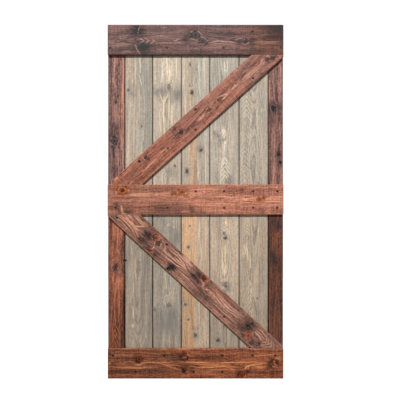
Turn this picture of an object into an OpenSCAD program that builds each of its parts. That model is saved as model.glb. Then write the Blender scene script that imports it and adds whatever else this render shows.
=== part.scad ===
// Sliding barn door slab: seven upright tongue-and-groove boards, faced with three
// rails and two diagonal braces that are screwed on from the front.
// Millimetres. X runs across the door, Y from the front (-Y) to the back, Z up.
// The origin is at the bottom edge, at mid width and mid thickness.

/* [Door] */
// Width over the outer boards
door_w = 1060; // [760:5:1400]
// Height of the boards
door_h = 2134; // [1600:1:2600]

/* [Upright boards] */
// Thickness of the boards
board_t = 19; // [15:0.5:30]
// Face width of the left outer board
left_stile_w = 102; // [90:1:160]
// Face width of the right outer board
right_stile_w = 90; // [85:1:160]
// Share of the space between the outer boards that each field board takes
board_1_share = 0.97; // [0.8:0.005:1.2]
board_2_share = 1.0; // [0.8:0.005:1.2]
board_3_share = 0.99; // [0.8:0.005:1.2]
board_4_share = 1.025; // [0.8:0.005:1.2]
board_5_share = 1.015; // [0.8:0.005:1.2]
// Open gap between the shoulders of two boards
board_gap = 0.5; // [0.1:0.1:2]
// Width over both bevels of a V joint, on the front and on the back
vee_w = 6; // [2:0.5:10]
// Reach of a tongue past the middle of its joint
tongue_l = 6; // [3:0.5:10]
// Thickness of a tongue
tongue_t = 6; // [4:0.5:7]
// Clearance on each cheek of a tongue
tongue_side_gap = 0.3; // [0.1:0.1:0.6]
// Clearance at the end of a tongue
tongue_end_gap = 1; // [0.5:0.25:3]
// Easing of the door's outer long edges
board_ease = 2; // [0.5:0.25:4]

/* [Rails] */
// Thickness of the rails and braces
frame_t = 19; // [12:0.5:25]
// Height of each rail
rail_w = 181; // [120:1:220]
// Height of the middle rail's centre line above the bottom edge
middle_rail_z = 1080; // [700:1:1200]
// Easing of the front edges of the rails and braces
frame_ease = 3; // [0.5:0.25:5]

/* [Braces] */
// Width of the two diagonal braces
brace_w = 138; // [80:1:180]
// Joint gap between a brace's cut ends and the rails
brace_gap = 0.5; // [0.1:0.1:2]
// Distance of the upper brace's low end from the door's left edge
upper_low_in = 25; // [0:1:60]
// Height of the blunt nose at the upper brace's low end
upper_low_nose = 23; // [5:1:60]
// Height of the blunt nose at the upper brace's high end
upper_high_nose = 13; // [5:1:60]
// Distance of the lower brace's low end from the door's right edge
lower_low_in = 8; // [0:1:60]
// Height of the blunt nose at the lower brace's low end
lower_low_nose = 18; // [5:1:60]
// Height of the blunt nose at the lower brace's high end
lower_high_nose = 8; // [5:1:60]

/* [Screws] */
// Length of a screw
screw_l = 32; // [24:1:33]
// Diameter over the thread
screw_d = 4.2; // [3:0.1:5]
// Diameter of the countersunk head
head_d = 8.4; // [7:0.1:10]
// Height of the head's cone
head_h = 2.6; // [2:0.1:4]
// Depth of the head's top below the wood's face
head_sink = 0.5; // [0.1:0.1:2]
// Length of the point
point_l = 6; // [3:0.5:8]
// Clearance between a screw and its hole
screw_gap = 0.05; // [0.02:0.01:0.1]
// Width and reach of the cross recess in the head
recess_w = 1; // [0.6:0.1:1.4]
recess_l = 4.8; // [3:0.1:6]
recess_h = 1.6; // [0.8:0.1:2]
// Distance of the screw rows from a rail's upper and lower edges
rail_row_in = 41; // [20:1:55]

/* [Hidden] */
$fn = 48;

// How far cutting solids run past the faces that they cut
past = 1;
// Rim above the head's cone
head_rim = 0.4;

// Stains
DARK_STAIN = [0.42, 0.29, 0.25];
RED_STAIN = [0.60, 0.40, 0.32];
BROWN_STAIN = [0.55, 0.40, 0.34];
WEATHERED = [0.66, 0.60, 0.52];
BLACK_OXIDE = [0.10, 0.10, 0.11];

// Joint lines between the boards, left to right, with the door's two edges at the ends
shares = [board_1_share, board_2_share, board_3_share, board_4_share, board_5_share];
field_w = door_w - left_stile_w - right_stile_w;
function sum_to(list, n) = n <= 0 ? 0 : list[n - 1] + sum_to(list, n - 1);
field_left = -door_w / 2 + left_stile_w;
share_sum = sum_to(shares, len(shares));
seams = concat(
    [-door_w / 2],
    [for (n = [0 : len(shares)]) field_left + field_w * sum_to(shares, n) / share_sum],
    [door_w / 2]
);
last_board = len(seams) - 2;
function board_mid(i) = (seams[i] + seams[i + 1]) / 2;

// Edges of the two bays between the rails
upper_bay = [middle_rail_z + rail_w / 2, door_h - rail_w];
lower_bay = [rail_w, middle_rail_z - rail_w / 2];

// A brace rises to the right from its low nose to its high nose. Its upper long edge
// passes through the top of the low nose, and its lower long edge through the bottom of
// the high nose, so its slope follows from the bay and its own width.
function brace_from(bay, low_in, low_nose) = [-door_w / 2 + low_in, bay[0] + low_nose];
function brace_to(bay, high_nose) = [door_w / 2, bay[1] - high_nose];
function brace_slope(from, to) =
    atan2(to.y - from.y, to.x - from.x) + asin(brace_w / norm(to - from));
// A point on the centre line, beside the low nose
function brace_start(from, angle) = from + brace_w / 2 * [sin(angle), -cos(angle)];

upper_from = brace_from(upper_bay, upper_low_in, upper_low_nose);
upper_angle = brace_slope(upper_from, brace_to(upper_bay, upper_high_nose));
upper_start = brace_start(upper_from, upper_angle);
// The lower brace falls to the right, so it is worked out as its own mirror image
lower_from = brace_from(lower_bay, lower_low_in, lower_low_nose);
lower_angle = brace_slope(lower_from, brace_to(lower_bay, lower_high_nose));
lower_start = brace_start(lower_from, lower_angle);

// Rail screws: [board that takes it, distance from that board's middle, row: 1 high, -1 low]
TOP_SCREWS = [
    [0, -37, -1], [1, -3, 1], [2, 0, -1], [3, -4, 1], [4, -6, -1], [5, -8, 1], [6, 32, -1]
];
MIDDLE_SCREWS = [
    [0, -4, -1], [2, 4, -1], [3, 1, 1], [4, -3, 1], [4, -3, -1],
    [5, -5, 1], [5, -5, -1], [6, 8, 1], [6, 8, -1]
];
BOTTOM_SCREWS = [
    [0, -19, 1], [1, -18, -1], [2, -16, 1], [3, -12, -1],
    [4, -14, 1], [4, -14, -1], [5, -9, 1], [6, -4, 1]
];
// Brace screws: [board that takes it, distance from that board's middle,
// share of the half width at which it sits above the brace's centre line]
UPPER_BRACE_SCREWS = [
    [1, 5, 0.64], [2, 6, -0.17], [3, 1, -0.6], [3, 2, 0.72], [5, -6, -0.6]
];
LOWER_BRACE_SCREWS = [
    [0, 5, -0.57], [1, 3, -0.6], [2, 0, 0.68], [4, -4, -0.6], [5, -11, 0.65]
];

// Each screw as [board, X, Z]
function rail_places(list, rail_mid) = [
    for (s = list) [s[0], board_mid(s[0]) + s[1], rail_mid + s[2] * (rail_w / 2 - rail_row_in)]
];
function brace_places(list, start, angle, side) = [
    for (s = list)
    let (x = board_mid(s[0]) + s[1], offset = s[2] * brace_w / 2 / cos(angle))
    [s[0], x, start.y + (side * x - start.x) * tan(angle) + offset]
];
top_places = rail_places(TOP_SCREWS, door_h - rail_w / 2);
middle_places = rail_places(MIDDLE_SCREWS, middle_rail_z);
bottom_places = rail_places(BOTTOM_SCREWS, rail_w / 2);
upper_places = brace_places(UPPER_BRACE_SCREWS, upper_start, upper_angle, 1);
lower_places = brace_places(LOWER_BRACE_SCREWS, lower_start, lower_angle, -1);
all_places = concat(top_places, middle_places, bottom_places, upper_places, lower_places);

// Stands a solid that is built along +Z, from the wood's front face inwards, at [board, X, Z]
module at_place(place) {
    translate([place[1], -frame_t, place[2]]) rotate([-90, 0, 0]) children();
}

module screw_body() {
    rotate_extrude()
    polygon([
        [0, head_sink],
        [head_d / 2, head_sink],
        [head_d / 2, head_sink + head_rim],
        [screw_d / 2, head_sink + head_rim + head_h],
        [screw_d / 2, screw_l - point_l],
        [0, screw_l]
    ]);
}

module screw() {
    difference() {
        screw_body();
        for (turn = [0, 90])
            rotate([0, 0, turn])
            translate([-recess_l / 2, -recess_w / 2, head_sink - past])
            cube([recess_l, recess_w, recess_h + past]);
    }
}

// The hole is the screw's own outline with the clearance all round, open at the face
module screw_hole() {
    rotate_extrude()
    polygon([
        [0, -past],
        [head_d / 2 + screw_gap, -past],
        [head_d / 2 + screw_gap, head_sink + head_rim + screw_gap],
        [screw_d / 2 + screw_gap, head_sink + head_rim + head_h + screw_gap],
        [screw_d / 2 + screw_gap, screw_l - point_l + screw_gap],
        [0, screw_l + 2 * screw_gap]
    ]);
}

module screws(places) {
    for (place = places) at_place(place) screw();
}

module screw_holes(places) {
    for (place = places) at_place(place) screw_hole();
}

// Edge outlines in plan, from the front to the back, for an edge whose joint line is at x = 0
vee = vee_w / 2;
shoulder = board_gap / 2;
function tongue_edge() = let (mid = board_t / 2, half = tongue_t / 2) [
    [-shoulder - vee, 0], [-shoulder, vee], [-shoulder, mid - half], [tongue_l, mid - half],
    [tongue_l, mid + half], [-shoulder, mid + half], [-shoulder, board_t - vee],
    [-shoulder - vee, board_t]
];
function groove_edge() =
    let (mid = board_t / 2, half = tongue_t / 2 + tongue_side_gap, floor = tongue_l + tongue_end_gap) [
    [shoulder + vee, 0], [shoulder, vee], [shoulder, mid - half], [floor, mid - half],
    [floor, mid + half], [shoulder, mid + half], [shoulder, board_t - vee],
    [shoulder + vee, board_t]
];
// Outer edge of the door: side is -1 on the left and 1 on the right
function plain_edge(side) = [
    [-side * board_ease, 0], [0, board_ease], [0, board_t - board_ease],
    [-side * board_ease, board_t]
];

function moved(points, x) = [for (p = points) p + [x, 0]];
function reversed(points) = [for (n = [len(points) - 1 : -1 : 0]) points[n]];

module upright(i) {
    left = i == 0 ? plain_edge(-1) : groove_edge();
    right = i == last_board ? plain_edge(1) : tongue_edge();
    difference() {
        linear_extrude(height = door_h)
            polygon(concat(moved(right, seams[i + 1]), reversed(moved(left, seams[i]))));
        screw_holes([for (place = all_places) if (place[0] == i) place]);
    }
}

// A flat bar that lies on the boards, length along X and centred on the origin, with all
// its front edges eased
module faced_bar(length, width) {
    intersection() {
        translate([-length / 2, 0, 0]) rotate([0, 90, 0])
            linear_extrude(height = length) eased_section(width);
        translate([0, 0, -width / 2])
            linear_extrude(height = width) eased_section(length);
    }
}

// Section of a bar: the back on the boards at y = 0, the eased front at y = -frame_t
module eased_section(width) {
    half = width / 2;
    polygon([
        [-half, 0], [half, 0], [half, -frame_t + frame_ease], [half - frame_ease, -frame_t],
        [-half + frame_ease, -frame_t], [-half, -frame_t + frame_ease]
    ]);
}

module rail(mid_z, places) {
    difference() {
        translate([0, 0, mid_z]) faced_bar(door_w, rail_w);
        screw_holes(places);
    }
}

// A strip along the slope, with eased long edges, cut off by the rails and by its two noses
module brace_body(bay, low_in, start, angle) {
    run = norm([door_w, bay[1] - bay[0]]) + 2 * brace_w;
    intersection() {
        translate([start.x, 0, start.y]) rotate([0, -angle, 0])
            translate([-brace_w, 0, 0]) rotate([0, 90, 0])
            linear_extrude(height = run) eased_section(brace_w);
        translate([-door_w / 2 + low_in, -frame_t - past, bay[0] + brace_gap])
            cube([door_w - low_in, frame_t + 2 * past, bay[1] - bay[0] - 2 * brace_gap]);
    }
}

module left_stile() { color(DARK_STAIN) upright(0); }
module board_1() { color(WEATHERED) upright(1); }
module board_2() { color(WEATHERED) upright(2); }
module board_3() { color(WEATHERED) upright(3); }
module board_4() { color(WEATHERED) upright(4); }
module board_5() { color(WEATHERED) upright(5); }
module right_stile() { color(DARK_STAIN) upright(6); }

module top_rail() { color(BROWN_STAIN) rail(door_h - rail_w / 2, top_places); }
module middle_rail() { color(RED_STAIN) rail(middle_rail_z, middle_places); }
module bottom_rail() { color(DARK_STAIN) rail(rail_w / 2, bottom_places); }

module upper_brace() {
    color(RED_STAIN)
    difference() {
        brace_body(upper_bay, upper_low_in, upper_start, upper_angle);
        screw_holes(upper_places);
    }
}

module lower_brace() {
    color(BROWN_STAIN)
    difference() {
        mirror([1, 0, 0]) brace_body(lower_bay, lower_low_in, lower_start, lower_angle);
        screw_holes(lower_places);
    }
}

module top_rail_screws() { color(BLACK_OXIDE) screws(top_places); }
module middle_rail_screws() { color(BLACK_OXIDE) screws(middle_places); }
module bottom_rail_screws() { color(BLACK_OXIDE) screws(bottom_places); }
module upper_brace_screws() { color(BLACK_OXIDE) screws(upper_places); }
module lower_brace_screws() { color(BLACK_OXIDE) screws(lower_places); }

left_stile();
board_1();
board_2();
board_3();
board_4();
board_5();
right_stile();
top_rail();
middle_rail();
bottom_rail();
upper_brace();
lower_brace();
top_rail_screws();
middle_rail_screws();
bottom_rail_screws();
upper_brace_screws();
lower_brace_screws();
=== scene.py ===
"""The looks of a plank barn door slab: knotty pine boards, rails and braces, stained and worn.

Each wood piece is made again from its place in the frame, with eased and worn edges,
a slightly uneven face, tongues and grooves, drilled screw holes and its own knots and
marks. Every piece has three directions of its own, in metres:

    along   with the grain, from the piece's first end
    across  from the middle of its width, towards the left of `along` seen from the front
    deep    from its front face to its back

An upright board runs from its top end down, so its `across` points to the right. A rail
runs from left to right, and the braces run from left to right too, so their `across`
points up. The tables of knots and marks are in millimetres along and across.
"""
import math

import bmesh
import bpy
import numpy as np
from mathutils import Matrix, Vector


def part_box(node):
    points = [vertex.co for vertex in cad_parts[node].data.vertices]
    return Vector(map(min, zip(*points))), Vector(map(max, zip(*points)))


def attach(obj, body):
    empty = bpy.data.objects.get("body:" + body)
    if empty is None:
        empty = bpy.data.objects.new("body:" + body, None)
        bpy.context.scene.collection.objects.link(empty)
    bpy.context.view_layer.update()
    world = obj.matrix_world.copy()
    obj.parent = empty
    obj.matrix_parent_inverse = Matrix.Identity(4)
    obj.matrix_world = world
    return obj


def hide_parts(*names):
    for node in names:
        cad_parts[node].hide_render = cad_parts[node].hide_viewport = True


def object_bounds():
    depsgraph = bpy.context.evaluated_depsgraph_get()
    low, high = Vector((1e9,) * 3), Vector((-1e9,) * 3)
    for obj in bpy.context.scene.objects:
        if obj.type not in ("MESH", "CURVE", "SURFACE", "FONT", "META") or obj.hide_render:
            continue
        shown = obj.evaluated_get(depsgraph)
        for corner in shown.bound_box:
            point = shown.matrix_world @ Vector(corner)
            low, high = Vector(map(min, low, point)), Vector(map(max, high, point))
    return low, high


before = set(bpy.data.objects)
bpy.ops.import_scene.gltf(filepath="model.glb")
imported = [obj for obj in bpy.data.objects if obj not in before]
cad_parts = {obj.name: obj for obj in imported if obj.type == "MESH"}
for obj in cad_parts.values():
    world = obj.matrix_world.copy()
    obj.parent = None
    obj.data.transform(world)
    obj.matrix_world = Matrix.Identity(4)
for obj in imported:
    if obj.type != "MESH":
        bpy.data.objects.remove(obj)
cad_box = [list(corner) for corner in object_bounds()]

MM = 0.001
BODY = "root"
SCREW_NODES = ["top_rail_screws", "middle_rail_screws", "bottom_rail_screws",
               "upper_brace_screws", "lower_brace_screws"]

# Edges
EASE = 3.0 * MM             # easing of the rails' and braces' front edges
STILE_EASE = 2.0 * MM       # easing of the door's outer long edges
VEE = 3.0 * MM              # one bevel of a V joint
TONGUE_REACH = 6.25 * MM    # from a board's shoulder to the end of its tongue
TONGUE_HALF = 3.0 * MM
GROOVE_DEPTH = 6.75 * MM    # from a board's shoulder to the floor of its groove
GROOVE_HALF = 3.3 * MM

# Unevenness of the front face
WAVE = 0.22 * MM            # slow waves
EDGE_WEAR = 0.9 * MM        # rubbed long edges
KNOT_SINK = 0.35 * MM       # the shrunken ring round a knot
END_EASE = 2.2              # rounding of the ends in millimetres, unless the look gives its own
END_REACH = 3 * MM          # how far from the end the rounding starts

# Holes
SINK_RADIUS = 4.25 * MM     # countersink of a rail's or brace's screw hole
SINK_RIM = 0.95 * MM        # depth at which the countersink's cone starts
SINK_END = 3.55 * MM        # depth at which it meets the shank's hole
SHANK_RADIUS = 2.15 * MM
PILOT_DEPTH = 13.2 * MM     # pilot hole in a board, its point included
PILOT_POINT = 6 * MM
PAST = 2 * MM               # how far a cutting solid runs past the faces that it cuts
STAIN_RIM = 7 * MM          # radius of the dark stain round a screw
KNOT_RIM = 4 * MM           # width of the dark stain round a lost knot
SCREW_REACH = 12 * MM       # seen from the front, points this close are of one screw

# Shades
RIM_SHADE = 1.6             # strength of the stain round a hole
SEAM_SHADE = 0.85           # darkening beside the joints between boards
EDGE_SHADE = 0.3            # darkening beside the edges of rails and braces
BOARD_WEAR = 0.2            # share of the edge wear that the upright boards have

# Strips of the baking map, from left to right, as shares of its width
FRONT_WIDTH = 0.30          # each half of the front face
FRONT_PITCH = 0.31
BACK_START = 0.62
BACK_WIDTH = 0.22
EDGE_START = 0.85
EDGE_PITCH = 0.06
EDGE_WIDTH = 0.05
MAP_MARGIN = 0.003

# How much a mark of 1 in `warmer` changes red, green and blue
WARM_TINT = (0.15, -0.13, -0.34)

# Fineness of the meshes
FACE_STEP = {"frame": 2.8 * MM, "board": 3.5 * MM}
ALONG_STEP = {"frame": 3.2 * MM, "board": 4.4 * MM}
BACK_SHARE = 4              # a back face has one point for this many on the front
SHARP_ANGLE = math.radians(35)  # edges that turn by more than this are shaded sharp


# ---------------------------------------------------------------- numbers and colours

def srgb(red, green, blue):
    """Linear colour of an 8-bit screen colour."""
    def linear(value):
        value = value / 255
        return value / 12.92 if value <= 0.04045 else ((value + 0.055) / 1.055) ** 2.4
    return (linear(red), linear(green), linear(blue), 1.0)


def ripple(along, across, seed, wave_along, wave_across):
    """Smooth noise from -1 to 1: eight sine waves of seeded pitch and phase, added up."""
    random = np.random.default_rng(seed)
    total = np.zeros_like(along)
    for _ in range(8):
        pitch_along, pitch_across = random.uniform(0.4, 1.6, 2)
        slant = random.choice((-1.0, 1.0))
        phase = random.uniform(0, 2 * math.pi)
        turn = pitch_along * along / wave_along + slant * pitch_across * across / wave_across
        total += np.sin(2 * math.pi * turn + phase)
    return np.clip(total / 4, -1, 1)


def fade(value, start, stop):
    """0 before start and 1 after stop, with a smooth step between."""
    t = np.clip((value - start) / (stop - start), 0, 1)
    return t * t * (3 - 2 * t)


# ---------------------------------------------------------------- where a piece lies

class Plank:
    """Where one wood piece lies, from its CAD node, and how its edges are cut."""

    def __init__(self, node, angle, edges=("eased", "eased")):
        self.node = node
        self.angle = angle
        self.edges = edges
        self.kind = "frame" if edges[0] == "eased" else "board"
        self.low, self.high = (np.array(corner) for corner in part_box(node))
        self.run = np.round([math.cos(angle), math.sin(angle)], 9)
        self.side = np.array([-self.run[1], self.run[0]])
        points = cad_points(node)[:, [0, 2]]
        reach = points @ self.side
        low_edge, high_edge = reach.min(), reach.max()
        if edges[1] == "tongue":
            high_edge -= TONGUE_REACH
        self.half = (high_edge - low_edge) / 2
        self.origin = (points @ self.run).min() * self.run + (low_edge + self.half) * self.side
        self.front = self.low[1]
        self.thick = self.high[1] - self.low[1]

    def ends(self, across):
        """Where the piece starts and stops along the grain: the line at `across`, cut off
        by the four sides of the CAD node's box."""
        start = np.full_like(across, -np.inf)
        stop = np.full_like(across, np.inf)
        for low, high, origin, run, side in zip(
                self.low[[0, 2]], self.high[[0, 2]], self.origin, self.run, self.side):
            if abs(run) > 1e-6:
                one = (low - origin - side * across) / run
                two = (high - origin - side * across) / run
                start = np.maximum(start, np.minimum(one, two))
                stop = np.minimum(stop, np.maximum(one, two))
        return start, stop

    def corners(self):
        """Places across at which an end's cut turns a corner, such as a brace's nose."""
        across = np.linspace(-self.half, self.half, 2001)[1:-1]
        turns = []
        for cut in self.ends(across):
            bend = np.abs(np.diff(cut, 2))
            if bend.max() > 1e-5:
                turns.append(across[1:-1][bend.argmax()])
        return sorted(turns)

    def place(self, along, across, deep):
        """Points of the door's frame at these places of the piece."""
        flat = self.origin + along[..., None] * self.run + across[..., None] * self.side
        return np.stack([flat[..., 0], self.front + deep, flat[..., 1]], axis=-1)

    def local(self, points):
        """Along, across and deep of points of the door's frame."""
        flat = points[:, [0, 2]] - self.origin
        return flat @ self.run, flat @ self.side, points[:, 1] - self.front


def mesh_points(mesh):
    """A mesh's vertices as an array."""
    points = np.empty(len(mesh.vertices) * 3)
    mesh.vertices.foreach_get("co", points)
    return points.reshape(-1, 3)


def cad_points(node):
    """A CAD node's vertices as an array."""
    return mesh_points(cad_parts[node].data)


def slope_of(node, rising):
    """Angle of a brace: the direction in which its outline is narrowest from side to side."""
    points = cad_points(node)[:, [0, 2]]
    angles = np.radians(np.arange(30, 60, 0.01)) * (1 if rising else -1)
    sides = np.stack([-np.sin(angles), np.cos(angles)])
    return angles[np.ptp(points @ sides, axis=0).argmin()]


# ---------------------------------------------------------------- the mesh of a piece

def quarter_arc(radius):
    """Points (out, deep) round an eased edge: radius * (sin a - 1, 1 - cos a)."""
    turns = [math.radians(turn) for turn in (22, 45, 68, 90)]
    return [(radius * (math.sin(a) - 1), radius * (1 - math.cos(a))) for a in turns]


def edge_outline(kind, thick):
    """Points round an edge from the front face to the back: (out past the shoulder, deep)."""
    middle = thick / 2
    if kind == "eased":
        return quarter_arc(EASE) + [(0, middle), (0, thick)]
    if kind == "plain":
        arc = quarter_arc(STILE_EASE)
        return arc + [(0, middle)] + [(out, thick - deep) for out, deep in arc[::-1]]
    reach, half = (TONGUE_REACH, TONGUE_HALF) if kind == "tongue" else (-GROOVE_DEPTH, GROOVE_HALF)
    bevel = [(-VEE * 0.6, VEE * 0.3), (-VEE * 0.25, VEE * 0.65), (0, VEE)]
    front = bevel + [(0, middle - half), (reach, middle - half)]
    return front + [(out, thick - deep) for out, deep in front[::-1]]


def edge_inset(kind):
    """How far in from the shoulder the flat of the face ends."""
    return {"eased": EASE, "plain": STILE_EASE}.get(kind, VEE)


def face_row(plank):
    """Places across of the front face's points. Each stretch between two breaks has a
    multiple of BACK_SHARE steps, so that the back face can have one place in BACK_SHARE."""
    breaks = [-plank.half + edge_inset(plank.edges[0])]
    breaks += plank.corners() + [plank.half - edge_inset(plank.edges[1])]
    row = [np.array(breaks[:1])]
    step = FACE_STEP[plank.kind] * BACK_SHARE
    for start, stop in zip(breaks, breaks[1:]):
        count = BACK_SHARE * max(1, round((stop - start) / step))
        row.append(np.linspace(start, stop, count + 1)[1:])
    return np.concatenate(row)


def stations(length, step):
    """Distances from the first end, close together beside both ends."""
    near = np.array([0, 0.7, 1.5, 3.0]) * MM
    count = round((length - 2 * near[-1]) / step)
    return np.concatenate([near[:-1], np.linspace(near[-1], length - near[-1], count),
                           (length - near[:-1])[::-1]])


def grid_mesh(plank, look):
    """The piece as a closed mesh: the outline of its section carried along the grain and
    closed by flat faces at both ends. A station at share s of the length lies at
    start(across) + s * (stop(across) - start(across)), so the ends follow their cuts."""
    row = face_row(plank)
    back = row[::-BACK_SHARE]
    left = [(-plank.half - out, deep) for out, deep in edge_outline(plank.edges[0], plank.thick)]
    right = [(plank.half + out, deep) for out, deep in edge_outline(plank.edges[1], plank.thick)]
    section = np.concatenate([
        np.stack([row, np.zeros_like(row)], axis=1), right,
        np.stack([back, np.full_like(back, plank.thick)], axis=1), left[::-1],
    ])
    across, deep = section.T
    start, stop = plank.ends(np.clip(across, -plank.half, plank.half))
    length = float(np.max(stop - start))
    share = stations(length, ALONG_STEP[plank.kind]) / length
    along = start + share[:, None] * (stop - start)
    across = np.broadcast_to(across, along.shape)
    deep = np.broadcast_to(deep, along.shape).copy()
    end_gap = np.minimum(along - start, stop - along)
    deep += surface_drop(plank, look, along, across, deep, end_gap)
    points = plank.place(along, across, deep)

    rows, ring = along.shape
    index = np.arange(rows * ring).reshape(rows, ring)
    step = np.roll(index, -1, axis=1)
    quads = np.stack([index[:-1], step[:-1], step[1:], index[1:]], axis=-1).reshape(-1, 4)
    faces = quads.tolist()
    steps = len(row) - 1
    back_first = len(row) + len(right)
    back_last = back_first + len(back) - 1
    for station in (index[0].tolist(), index[-1].tolist()):
        for n in range(steps // BACK_SHARE):
            front_part = station[n * BACK_SHARE:(n + 1) * BACK_SHARE + 1]
            faces.append(front_part + [station[back_last - n - 1], station[back_last - n]])
        faces.append(station[steps:back_first + 1])
        faces.append(station[back_last:] + station[:1])
    mesh = bpy.data.meshes.new(plank.node + "_wood")
    mesh.from_pydata(points.reshape(-1, 3), [], faces)
    outward(mesh)
    return mesh


def outward(mesh):
    """Turns every face of a closed mesh outwards."""
    work = bmesh.new()
    work.from_mesh(mesh)
    bmesh.ops.recalc_face_normals(work, faces=work.faces)
    work.to_mesh(mesh)
    work.free()


def surface_drop(plank, look, along, across, deep, end_gap):
    """How far each point lies below the ideal face: slow waves, rounded ends, worn long
    edges, shrunken rings round the knots and dents."""
    seed = look["seed"]
    front = 1 - fade(deep, 0, EASE * 0.7)
    waves = WAVE * (1 + ripple(along, across, seed, 300 * MM, 60 * MM)) / 2
    worn = fade(ripple(along, across, seed + 1, 70 * MM, 200 * MM), 0.15, 0.9)
    edge_gap = plank.half - np.abs(across)
    edge = EDGE_WEAR * worn * np.exp(-edge_gap / (2.5 * MM))
    ends = look.get("end_ease", END_EASE) * MM * np.clip(1 - end_gap / END_REACH, 0, 1) ** 2
    drop = waves + edge + ends
    for knot in look["knots"]:
        drop += KNOT_SINK * np.exp(-((knot_reach(knot, along, across) - 1.05) / 0.22) ** 2)
    for dent_along, dent_across, radius, depth in look.get("dents", ()):
        gap = np.hypot(along - dent_along * MM, across - dent_across * MM) / (radius * MM)
        drop += depth * MM * np.exp(-gap ** 3)
    return drop * front


def knot_reach(knot, along, across):
    """Distance from a knot's middle in knot radii, drawn out along the grain by its stretch."""
    middle_along, middle_across, radius, stretch, _ = knot
    return np.hypot((along - middle_along * MM) / stretch, across - middle_across * MM) / (radius * MM)


def turned(profile, centre, lobes=0.0, seed=0, sides=20):
    """A closed solid turned about the Y direction from (radius, deep) points that start
    and end on the axis. `lobes` makes its outline uneven by about that share of the radius."""
    profile = np.array(profile)
    angle = np.linspace(0, 2 * math.pi, sides, endpoint=False)
    random = np.random.default_rng(seed)
    bulge = 1 + lobes * sum(np.sin(n * angle + random.uniform(0, 6)) for n in (2, 3, 5)) / 2
    radius = profile[1:-1, 0][:, None] * bulge
    x = centre[0] + radius * np.cos(angle)
    z = centre[2] + radius * np.sin(angle)
    y = centre[1] + np.broadcast_to(profile[1:-1, 1][:, None], x.shape)
    tips = [[centre[0], centre[1] + deep, centre[2]] for deep in profile[[0, -1], 1]]
    points = np.concatenate([np.stack([x, y, z], axis=-1).reshape(-1, 3), tips])
    index = np.arange(x.size).reshape(x.shape)
    after = np.roll(index, -1, axis=1)
    quads = np.stack([index[:-1], after[:-1], after[1:], index[1:]], axis=-1).reshape(-1, 4)
    first, last = x.size, x.size + 1
    faces = quads.tolist()
    faces += [[first, b, a] for a, b in zip(index[0].tolist(), after[0].tolist())]
    faces += [[last, a, b] for a, b in zip(index[-1].tolist(), after[-1].tolist())]
    return points, faces


def cutter_from(solids, material):
    """One object that holds all the solids to be cut out of a piece."""
    points, faces, offset = [], [], 0
    for solid_points, solid_faces in solids:
        points.append(solid_points)
        faces += [[corner + offset for corner in face] for face in solid_faces]
        offset += len(solid_points)
    mesh = bpy.data.meshes.new("cutter")
    mesh.from_pydata(np.concatenate(points), [], faces)
    outward(mesh)
    mesh.materials.append(material)
    cutter = bpy.data.objects.new("cutter", mesh)
    bpy.context.scene.collection.objects.link(cutter)
    return cutter


def cut(piece, solids, material):
    """Cuts the solids out of the piece. The walls of the cuts take the material."""
    cutter = cutter_from(solids, material)
    modifier = piece.modifiers.new("cut", "BOOLEAN")
    modifier.operation = "DIFFERENCE"
    modifier.object = cutter
    modifier.solver = "MANIFOLD"
    graph = bpy.context.evaluated_depsgraph_get()
    mesh = bpy.data.meshes.new_from_object(piece.evaluated_get(graph))
    piece.modifiers.clear()
    piece.data = mesh
    bpy.data.objects.remove(cutter)


def screw_places(node):
    """Middle of each screw of a CAD node."""
    points = cad_points(node)
    places = []
    while len(points):
        near = np.hypot(points[:, 0] - points[0, 0], points[:, 2] - points[0, 2]) < SCREW_REACH
        solid = points[near]
        places.append((solid.min(axis=0) + solid.max(axis=0)) / 2)
        points = points[~near]
    return places


def frame_holes(plank):
    """The countersunk clearance holes of a rail's or brace's screws."""
    profile = [(0, -PAST), (SINK_RADIUS, -PAST), (SINK_RADIUS, SINK_RIM), (SHANK_RADIUS, SINK_END),
               (SHANK_RADIUS, plank.thick + PAST), (0, plank.thick + PAST)]
    return [turned(profile, (place[0], plank.front, place[2]), lobes=0.03, seed=n)
            for n, place in enumerate(screw_places(plank.node + "_screws"))]


def board_holes(plank):
    """The pointed pilot holes of the screws that reach a board."""
    profile = [(0, -PAST), (SHANK_RADIUS, -PAST), (SHANK_RADIUS, PILOT_DEPTH - PILOT_POINT),
               (0, PILOT_DEPTH)]
    places = [place for node in SCREW_NODES for place in screw_places(node)]
    return [turned(profile, (place[0], plank.front, place[2]), sides=12)
            for place in places if abs(place[0] - plank.origin[0]) < plank.half]


def knot_hole(plank, along, across, radius, depth, seed):
    """The ragged pit of a lost knot."""
    profile = [(0, -3 * MM), (radius * 1.15, -3 * MM), (radius, 1 * MM), (radius * 0.85, depth * 0.6),
               (radius * 0.5, depth * 0.95), (0, depth)]
    middle = plank.place(np.array(along * MM), np.array(across * MM), np.array(0.0))
    return turned(profile, middle, lobes=0.16, seed=seed, sides=24)


# ---------------------------------------------------------------- marks on the wood

def blots(along, across, marks, seed):
    """Soft patches (along, across, half length, half width, strength), with wavy outlines:
    strength * exp(-r^2), where r is the distance in half sizes."""
    along = along + 10 * MM * ripple(along, across, seed, 50 * MM, 40 * MM)
    across = across + 7 * MM * ripple(along, across, seed + 1, 50 * MM, 40 * MM)
    total = np.zeros_like(along)
    for middle_along, middle_across, half_along, half_across, strength in marks:
        reach = np.hypot((along - middle_along * MM) / (half_along * MM),
                         (across - middle_across * MM) / (half_across * MM))
        total = np.maximum(total, strength * np.exp(-reach ** 2))
    return total


def smooth_line(points):
    """Six points to each stretch of a smooth curve through these (a Catmull-Rom spline)."""
    points = np.array(points, dtype=float)
    padded = np.concatenate([[2 * points[0] - points[1]], points, [2 * points[-1] - points[-2]]])
    t = np.linspace(0, 1, 6, endpoint=False)[:, None]
    parts = []
    for a, b, c, d in zip(padded, padded[1:], padded[2:], padded[3:]):
        parts.append(0.5 * (2 * b + (c - a) * t + (2 * a - 5 * b + 4 * c - d) * t ** 2
                            + (3 * b - a - 3 * c + d) * t ** 3))
    return np.concatenate(parts + [points[-1:]])


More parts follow.
